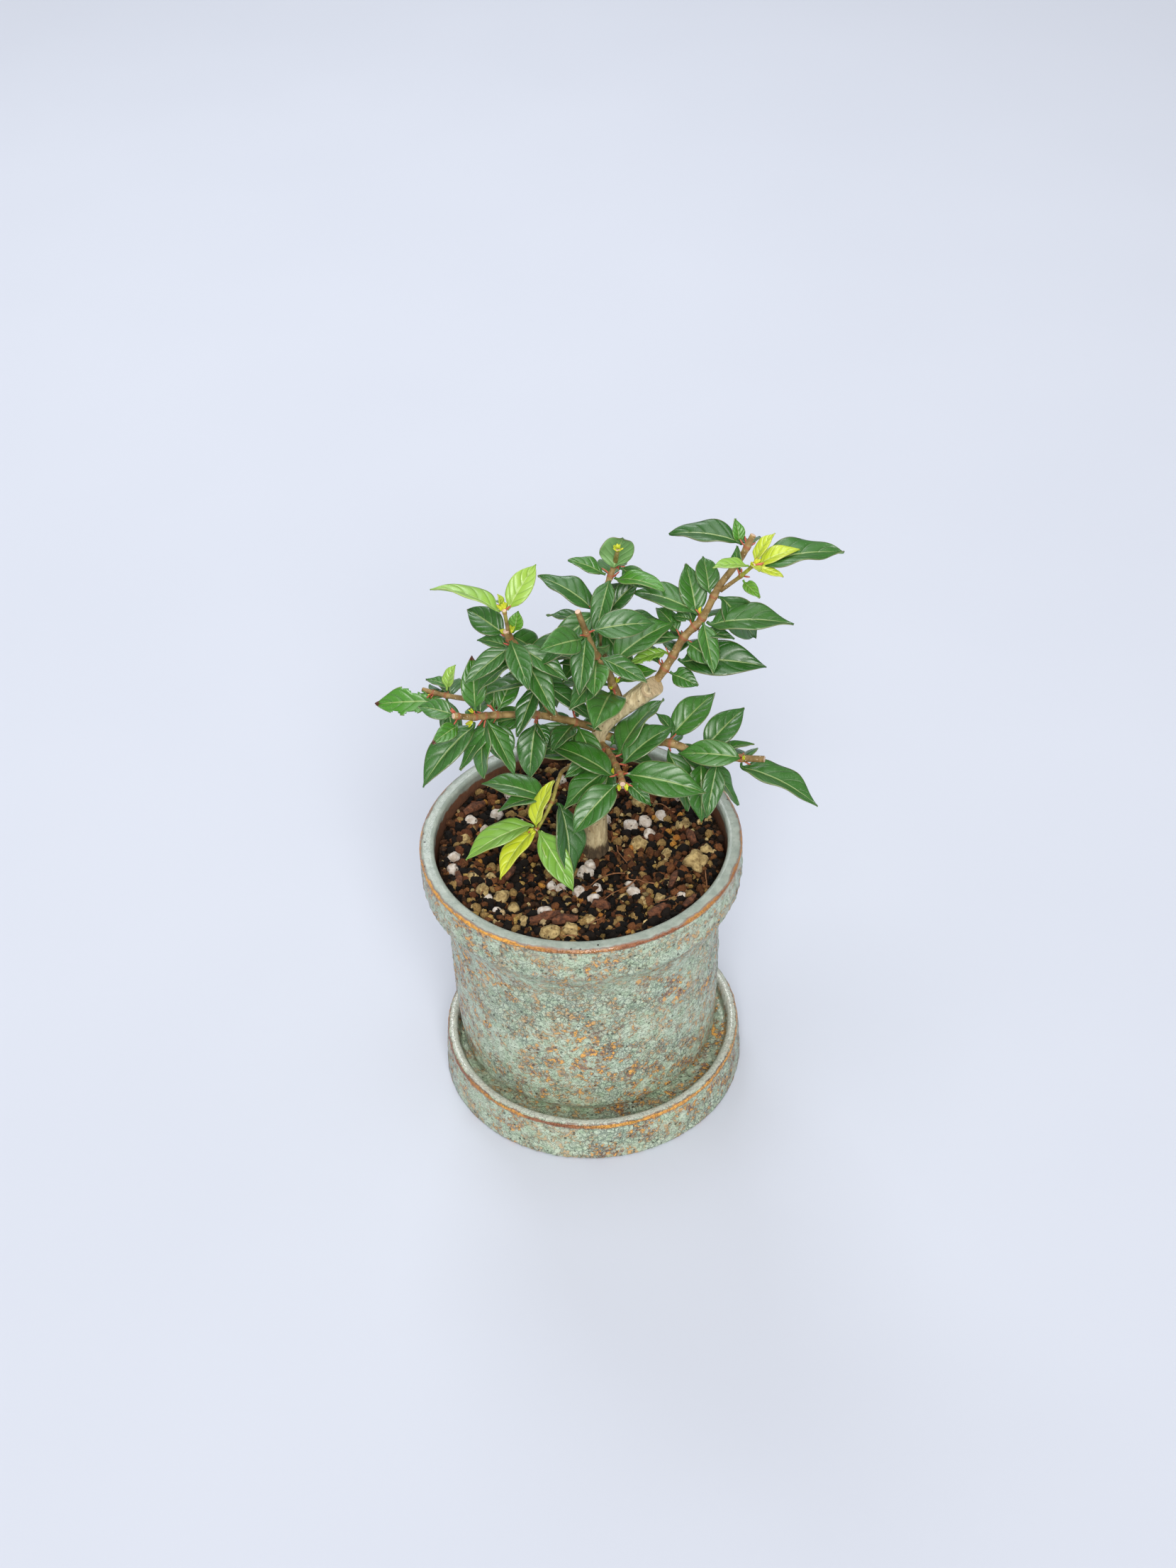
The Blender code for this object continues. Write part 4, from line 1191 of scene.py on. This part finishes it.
# Leaves unlike the rest, by group: heading, rise, how yellow, how pale, brown tip, bitten
ODD_LEAVES = {
    "upper_right_2": ((10, 0, 0.05, 0.5, 0, 0), (40, 40, 0.92, 0.3, 0, 0), (15, 10, 0.9, 0.2, 0, 0),
                      (-165, 10, 0.55, 0.2, 0, 0), (-25, -5, 0.95, 0.3, 0, 0), (-80, 30, 0.9, 0.3, 0, 0)),
    "upper_right_1": ((95, 40, 0.1, 0.2, 0, 0), (-55, -20, 0.38, 0.0, 0, 0)),
    "top_right_2": ((-165, 0, 0.5, 0.1, 0.3, 1),), "top_right_7": ((115, 40, 0.28, 0.3, 0, 0),),
    "back_3": ((-35, 5, 0.25, 0.4, 0, 0),), "centre_1": ((25, 0, 0.22, 0.2, 0, 0),),
    "upper_left_1": ((155, 5, 0.58, 0.4, 0, 0), (50, 30, 0.64, 0.3, 0, 0), (125, 60, 0.85, 0.2, 0, 0),
                     (85, -30, 0.35, 0.1, 0, 0)),
    "centre_left_4": ((55, 50, 0.36, 0.0, 0, 0),), "left_6": ((-135, -20, 0.18, 0.3, 0.9, 0),),
    "left_5": ((90, 55, 0.15, 0.4, 0.8, 0),), "far_left_2": ((175, -15, 0.25, 0.2, 0.7, 1),),
    "far_left_1": ((50, 60, 0.6, 0.2, 0.4, 0),),
    "front_left_2": ((50, 55, 0.97, 0.3, 0, 0), (-165, -15, 0.5, 0.5, 0, 0), (-140, -35, 1.0, 0.2, 0, 0),
                     (-50, -50, 0.5, 0.1, 0, 0), (-55, -28, 0.45, 0.4, 0, 0))}

# Groups with lime buds in their corners, and how many
BUDS = {"centre_1": 2, "front_5": 2, "front_3": 1, "left_5": 2, "right_4": 2, "centre_left_4": 2,
        "back_4": 3, "top_right_5": 1, "upper_left_1": 3, "far_left_2": 1, "upper_right_2": 2,
        "front_left_2": 2}

# Leaves that fill the crown between the frame's, by group: heading, rise, length and half width in mm
FILLING = {
    "left_1": ((-60, -30, 13, 3.0), (-160, -15, 14, 3.1), (-115, 10, 13, 3.0), (15, -20, 12, 2.6)),
    "left_2": ((170, -15, 15, 3.2), (50, 20, 13, 2.9)), "left_3": ((-140, -35, 14, 3.0), (60, 35, 13, 2.9)),
    "left_4": ((-50, -45, 14, 3.0),), "centre_1": ((150, -10, 14, 3.0),),
    "centre_2": ((-130, -10, 14, 3.2),), "centre_3": ((145, -15, 17, 3.6), (-30, -10, 13, 2.9)),
    "centre_4": ((-175, -20, 18, 3.6), (-100, -35, 14, 3.2)),
    "back_1": ((-125, -12, 17, 3.5), (-55, -20, 14, 3.0)),
    "back_2": ((-150, -20, 17, 3.5), (-40, -5, 15, 3.1), (60, 0, 14, 3.0)),
    "back_3": ((-110, -30, 14, 3.0),), "centre_left_1": ((-25, -25, 15, 3.2), (-120, -35, 13, 2.9)),
    "centre_left_2": ((-60, -25, 15, 3.2), (20, -10, 14, 3.0)),
    "centre_left_3": ((-25, -20, 14, 3.0), (-150, -20, 14, 3.0)), "centre_left_4": ((-70, -25, 13, 3.1),),
    "top_right_3": ((175, 0, 16, 3.3),), "top_right_4": ((100, 10, 15, 3.1),),
    "top_right_5": ((-80, -30, 13, 2.8),), "front_1": ((-150, -10, 12, 2.7), (5, -25, 14, 3.0)),
    "front_2": ((-110, -40, 13, 2.8),), "right_1": ((165, 15, 14, 3.0), (0, -40, 15, 3.2)),
    "right_2": ((-25, -50, 14, 3.0),), "right_3": ((-110, -40, 13, 2.9),),
    "far_left_1": ((-80, -35, 13, 2.9), (170, -20, 12, 2.6)), "front_left_2": ((-55, -28, 16.5, 3.6),),
    "upper_right_2": ((-25, -5, 7, 1.5), (-80, 30, 6, 1.4))}

# Half width of a leaf along its length, as a share of its widest
OUTLINE = ((0.0, 0.09), (0.03, 0.14), (0.08, 0.38), (0.15, 0.68), (0.24, 0.90), (0.36, 1.02), (0.48, 1.03),
           (0.62, 0.90), (0.75, 0.65), (0.86, 0.37), (0.94, 0.15), (0.98, 0.05), (1.0, 0.0))
STALK_HALF_WIDTH = 0.36 * MM
LEAF_FULLNESS = 1.14
LEAF_THICKNESS = 0.28 * MM
FILLING_STALK = 0.9 * MM
BUD_THICKNESS = 0.22 * MM
# How far the tip of the oval leaf on the back twig leans from its place in the frame
OVAL_LEAF_LEAN = Vector((0.2, 9.0, -6.3)) * MM
# A leaf is one of the odd ones if it points this nearly the same way
NEAR_ENOUGH = 0.93
# How finely a blade is cut across and along
BLADE_CUTS = (14, 30)
# Places bitten out of a leaf: share of its length, side, size
BITES = ((0.30, 0.9, 0.10), (0.40, 1.05, 0.09), (0.36, -1.0, 0.10), (0.62, -0.95, 0.08), (0.2, 0.8, 0.06))


def read_leaves(group):
    """The leaves of a group as the frame holds them, and the middle of the ring that they grow from."""
    shape = merged(group)
    leaves = []
    taken = set()
    for vert in shape.verts:
        rings = layers_from([vert], 5)
        if [len(ring) for ring in rings] != [4] * 5:
            continue
        taken.add(vert)
        sections = []
        for ring in rings:
            taken |= set(ring)
            pairs = [(a, b) for index, a in enumerate(ring) for b in ring[index + 1:]]
            left, right = max(pairs, key=lambda pair: (pair[0].co - pair[1].co).length)
            ridge = [corner for corner in ring if corner not in (left, right)]
            heart = middle_of(ridge)
            lift = (left.co + right.co) / 2 - heart
            sections.append((heart, lift, (left.co - right.co).length / 2, middle_of(ring)))
        leaves.append((vert.co.copy(), sections))
    rest = [vert for vert in shape.verts if vert not in taken]
    heart = middle_of(rest)
    shape.free()
    return leaves, heart


def leaf_blade(shape, line, stalk, half_width, up_at, look, chance):
    """One leaf: folded along its midrib, quilted between its side veins, wavy at its edges."""
    yellow, pale, brown_tip, bitten = look
    across, along = BLADE_CUTS
    wave_size = chance.uniform(0.05, 0.15) * half_width
    waves = [(chance.uniform(1.2, 2.2), chance.uniform(0, math.tau)) for _ in range(2)]
    fold = chance.uniform(0.46, 0.68)
    twist = chance.uniform(-0.16, 0.16)
    stalk *= 0.7
    full = line.length - stalk
    quilt = 0.13 * min(half_width / (3 * MM), 1.2) * MM

    def where(column, row):
        side = 2 * column / across - 1
        distance = stalk * 0.4 + (line.length - stalk * 0.4) * (row / along) ** 0.97
        share = (distance - stalk) / full
        point, way, _, _ = line.place(distance)
        up = up_at(max(share, 0))
        up = (up - way * up.dot(way)).normalized()
        right = way.cross(up)
        up = up * math.cos(twist * share) + right * math.sin(twist * share)
        right = way.cross(up)
        reach = half_width * between(OUTLINE, share) if share > 0 else 0
        blade = step_up(share, 0.02, 0.16)
        if share < 0.1:
            reach = max(reach, STALK_HALF_WIDTH * min(1, half_width / (2.4 * MM)))
        away = abs(side)
        phase = (share - VEIN_LEAN * away ** 1.25) * VEIN_PAIRS + WAVE_START
        gap = abs(phase % 1 - 0.5)
        puff = quilt * (min(gap / 0.22, 1) - 0.6) * blade * (1 - away ** 3) * min(away * 6, 1)
        speed, start = waves[0 if side < 0 else 1]
        ripple = wave_size * away ** 3 * math.sin(math.tau * speed * share + start) * blade
        lift = reach * (fold * away - (fold - 0.30) * away ** 2)
        point = point + right * reach * side + up * (lift + puff + ripple)
        brown = brown_tip * step_up(share, 0.84, 0.97)
        return point, (column / across, (max(share, -0.1) + 0.1) / 1.1), (pale, yellow, brown, 1)

    made = patch(shape, across, along, where)
    if bitten:
        uv_map = own_map(shape)
        faces = {face for vert in made for face in vert.link_faces}
        gone = []
        for face in faces:
            u = sum(loop[uv_map].uv.x for loop in face.loops) / 4 * 2 - 1
            v = sum(loop[uv_map].uv.y for loop in face.loops) / 4 * 1.1 - 0.1
            if any(math.hypot((u - side) * 0.35, v - share) < size for share, side, size in BITES):
                gone.append(face)
        bmesh.ops.delete(shape, geom=gone, context="FACES")
        made = [vert for vert in made if vert.is_valid]
    bmesh.ops.remove_doubles(shape, verts=made, dist=SAME_SEAM)


def sliver(shape, base, way, up, length, width, material, curl):
    """A small pointed scale or bud leaf."""
    way = way.normalized()
    up = (up - way * up.dot(way)).normalized()
    right = way.cross(up)

    def where(column, row):
        side = 2 * column / 4 - 1
        share = row / 6
        reach = width * (1 - share ** 2) ** 0.5 * (0.65 + 0.7 * share * (1 - share) * 2)
        rise = up * (curl * length * share ** 2 + 0.35 * reach * abs(side))
        return base + way * length * share + right * reach * side + rise, (column / 4, share), PLAIN

    made = patch(shape, 4, 6, where, material)
    bmesh.ops.remove_doubles(shape, verts=made, dist=SAME_SEAM)


def way_to(heading, rise):
    """A direction, from its heading and rise in degrees."""
    heading, rise = math.radians(heading), math.radians(rise)
    return Vector((math.cos(heading) * math.cos(rise), math.sin(heading) * math.cos(rise), math.sin(rise)))


def look_of(way, odd, chance):
    """How yellow, pale, brown at the tip and bitten a leaf that points this way is."""
    look = (chance.uniform(0.0, 0.12), chance.uniform(0.0, 0.9), 0.0, 0)
    best = NEAR_ENOUGH
    for heading, rise, *odd_look in odd:
        match = way_to(heading, rise).dot(way)
        if match > best:
            best = match
            look = odd_look
    return look


def make_leaf_group(group, leaves, heart, line):
    """All the leaves, scales and buds of one node of a twig."""
    chance = random.Random(group)
    name = group.replace("leaves_", "")
    shape = bmesh.new()
    odd = ODD_LEAVES.get(name, ())
    at = line.nearest(heart)
    spot, stem_way, stem_side, stem_radius = line.place(at)
    leaves = sorted(leaves, key=lambda leaf: (round((leaf[0] - heart).x, 5), leaf[0].y))
    outward = []
    for tip, sections in leaves:
        far, mid, near, neck, elbow = sections
        root = elbow[3]
        start = heart.lerp(root, 0.35)
        path = [start, root, neck[3], near[0], mid[0], far[0], tip]
        if name == "back_4" and tip.z > heart.z:
            # The oval leaf stands behind the upright shoot
            tip = tip + OVAL_LEAF_LEAN
            path = [start, root]
            for share in (0.2, 0.4, 0.6, 0.8, 1.0):
                bow = Vector((0, 0.9, 0)) * MM * math.sin(math.pi * share)
                path.append(root.lerp(tip, share) + bow)
        stalk = (root - start).length
        ups = [(0.0, near[1]), (0.30, near[1]), (0.52, mid[1]), (0.80, far[1]), (1.0, far[1])]
        outward.append((root - heart).normalized())

        def up_at(share):
            for (low, a), (high, b) in zip(ups, ups[1:]):
                if share <= high:
                    return a.normalized().lerp(b.normalized(), (share - low) / (high - low))
            return ups[-1][1].normalized()

        look = look_of((tip - heart).normalized(), odd, chance)
        leaf_blade(shape, Line(path), stalk, mid[2] * LEAF_FULLNESS, up_at, look, chance)
    for heading, rise, length, half_width in FILLING.get(name, ()):
        way = way_to(heading, rise)
        root = spot + way * (stem_radius + FILLING_STALK)
        droop = chance.uniform(0.06, 0.2)
        path = [spot + way * stem_radius * 0.5, root]
        for share in (0.2, 0.45, 0.7, 1.0):
            path.append(root + (way - UP * droop * share) * length * share * MM)
        roll = UP + Vector((chance.uniform(-0.35, 0.35), chance.uniform(-0.6, 0.05), 0))
        look = look_of(way, odd, chance)
        stalk = stem_radius * 0.5 + FILLING_STALK
        leaf_blade(shape, Line(path), stalk, half_width * MM, lambda share: roll, look, chance)
    for count in range(chance.choice((2, 3, 4))):
        turn = outward[count % len(outward)] + random_turn(chance) @ Vector((0.7, 0, 0))
        out = (turn - stem_way * turn.dot(stem_way)).normalized()
        base = spot + out * stem_radius * 0.9 + stem_way * chance.uniform(-0.3, 0.7) * MM
        way = out * 0.9 + stem_way * chance.uniform(0.2, 1.1)
        sliver(shape, base, way, stem_way, chance.uniform(1.2, 2.6) * MM, 0.2 * MM, SCALE_SKIN,
               chance.uniform(-0.3, 0.3))
    for count in range(BUDS.get(name, 0)):
        out = outward[count % len(outward)]
        out = (out - stem_way * out.dot(stem_way)).normalized()
        base = spot + out * stem_radius + stem_way * 0.7 * MM
        for _ in range(4):
            fan = random_turn(chance) @ Vector((0.55, 0, 0))
            way = out + stem_way * 0.8 + fan
            sliver(shape, base, way, stem_way, chance.uniform(1.0, 2.0) * MM, 0.42 * MM, BUD_SKIN, 0.2)
    piece = add_piece("foliage_" + name, shape, LEAF_SKINS, [group])
    thicken(piece, LEAF_THICKNESS, 1)


def make_back_shoot(line):
    """The slim upright end of the back twig, with lime buds, in front of its oval leaf."""
    chance = random.Random(5)
    start, way, _, radius = line.place(line.length * 0.9)
    points = [start, start + Vector((0.2, -1.6, 2.4)) * MM, start + Vector((0.5, -3.2, 5.2)) * MM,
              start + Vector((0.9, -4.8, 8.3)) * MM]
    shoot = Line(points, [radius * 0.95, radius * 0.9, radius * 0.8, radius * 0.7])
    shape = bmesh.new()
    tube(shape, shoot, 14, 0.45 * MM, plain_radius, lambda d, a, cut, s: (0, cut, 0.2, 1))
    add_piece("back_shoot", shape, [TWIG_BARK])
    buds = bmesh.new()
    tip = points[-1]
    for level, count in ((-0.4, 5), (0.3, 4)):
        for petal in range(count):
            turn = math.tau * (petal + 0.5 * level) / count + chance.uniform(-0.4, 0.4)
            out = Vector((math.cos(turn), math.sin(turn), 0.9 + level))
            sliver(buds, tip + UP * level * MM, out, UP, chance.uniform(1.1, 1.9) * MM, 0.4 * MM, 0, 0.2)
    piece = add_piece("back_buds", buds, [BUD_LIME, BUD_LIME])
    thicken(piece, BUD_THICKNESS)


def make_tree():
    """The trunk, its twigs and all their leaves."""
    groups = {}
    nodes_on = {}
    for node in sorted(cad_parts):
        if not node.startswith("leaves_"):
            continue
        twig = [name for start, name in LEAF_TWIGS if node.startswith(start)][0]
        leaves, heart = read_leaves(node)
        groups[node] = (leaves, heart, twig)
        nodes_on.setdefault(twig, []).append(heart)
    make_trunk()
    lines = make_twigs(nodes_on)
    for node, (leaves, heart, twig) in groups.items():
        make_leaf_group(node, leaves, heart, lines[twig])
    make_back_shoot(lines["back_twig"])


# ---------------------------------------------------------------- studio

def aim(thing, place, target, roll=0.0):
    """Puts a light or camera at a place, looking at a target."""
    back = (Vector(place) - Vector(target)).normalized()
    right = UP.cross(back).normalized()
    up = back.cross(right)
    tilted = right * math.cos(roll) + up * math.sin(roll)
    up = back.cross(tilted)
    turn = Matrix((tilted, up, back)).transposed()
    thing.matrix_world = Matrix.Translation(Vector(place)) @ turn.to_4x4()


def add_light(name, place, width, height, power, colour):
    """A soft flat lamp that faces the plant."""
    lamp = bpy.data.lights.new(name, "AREA")
    lamp.shape = "RECTANGLE"
    lamp.size = width
    lamp.size_y = height
    lamp.energy = power
    lamp.color = colour
    light = bpy.data.objects.new(name, lamp)
    bpy.context.scene.collection.objects.link(light)
    aim(light, place, LAMP_TARGET)


def make_floor():
    """A wide pale floor, the colour of a light periwinkle sweep."""
    material, nodes, shader, place = new_material("pale_floor", Roughness=0.9, Specular_IOR_Level=0.15)
    cloud = nodes.mottle(place, 6, 2, 0.2, 0.8)
    colour = nodes.mix(cloud, (0.61, 0.64, 0.725, 1), (0.625, 0.655, 0.74, 1))
    finish_shader(nodes, shader, colour)
    shape = bmesh.new()
    bmesh.ops.create_grid(shape, x_segments=4, y_segments=4, size=4.0)
    mesh = bpy.data.meshes.new("floor")
    shape.to_mesh(mesh)
    shape.free()
    mesh.materials.append(material)
    floor = bpy.data.objects.new("floor", mesh)
    bpy.context.scene.collection.objects.link(floor)


# The camera: its place, what it looks at, its tilt in degrees and its lens in mm
CAMERA_PLACE = (1.4 * MM, -482.1 * MM, 518.5 * MM)
CAMERA_TARGET = (1.4 * MM, 2.5 * MM, 102.1 * MM)
CAMERA_TILT = -2.2386
LENS = 53.7

# Lamps: name, place, width, height, power and colour
LAMPS = (("window", (-0.18, 0.8, 0.86), 0.45, 0.34, 3.2, (0.93, 0.97, 1.0)),
         ("overhead", (-0.1, 0.05, 1.4), 0.8, 0.8, 5.6, (0.97, 0.99, 1.0)),
         ("front_fill", (0.2, -3.6, 3.3), 2.4, 2.4, 208.0, (1.0, 0.985, 0.96)))
LAMP_TARGET = (0, 0, 90 * MM)


def make_studio():
    """The floor, soft light from a window behind, from overhead and from the front, and the camera."""
    make_floor()
    world = bpy.data.worlds.new("studio")
    bpy.context.scene.world = world
    world.use_nodes = True
    sky = world.node_tree.nodes["Background"]
    sky.inputs["Color"].default_value = (0.97, 0.975, 1.0, 1)
    sky.inputs["Strength"].default_value = 0.30
    for lamp in LAMPS:
        add_light(*lamp)
    lens = bpy.data.cameras.new("camera")
    lens.lens = LENS
    lens.sensor_width = 36
    camera = bpy.data.objects.new("camera", lens)
    bpy.context.scene.collection.objects.link(camera)
    aim(camera, CAMERA_PLACE, CAMERA_TARGET, math.radians(CAMERA_TILT))
    bpy.context.scene.camera = camera
    bpy.context.scene.view_settings.view_transform = "Standard"


make_studio()
make_ware()
make_soil()
make_tree()
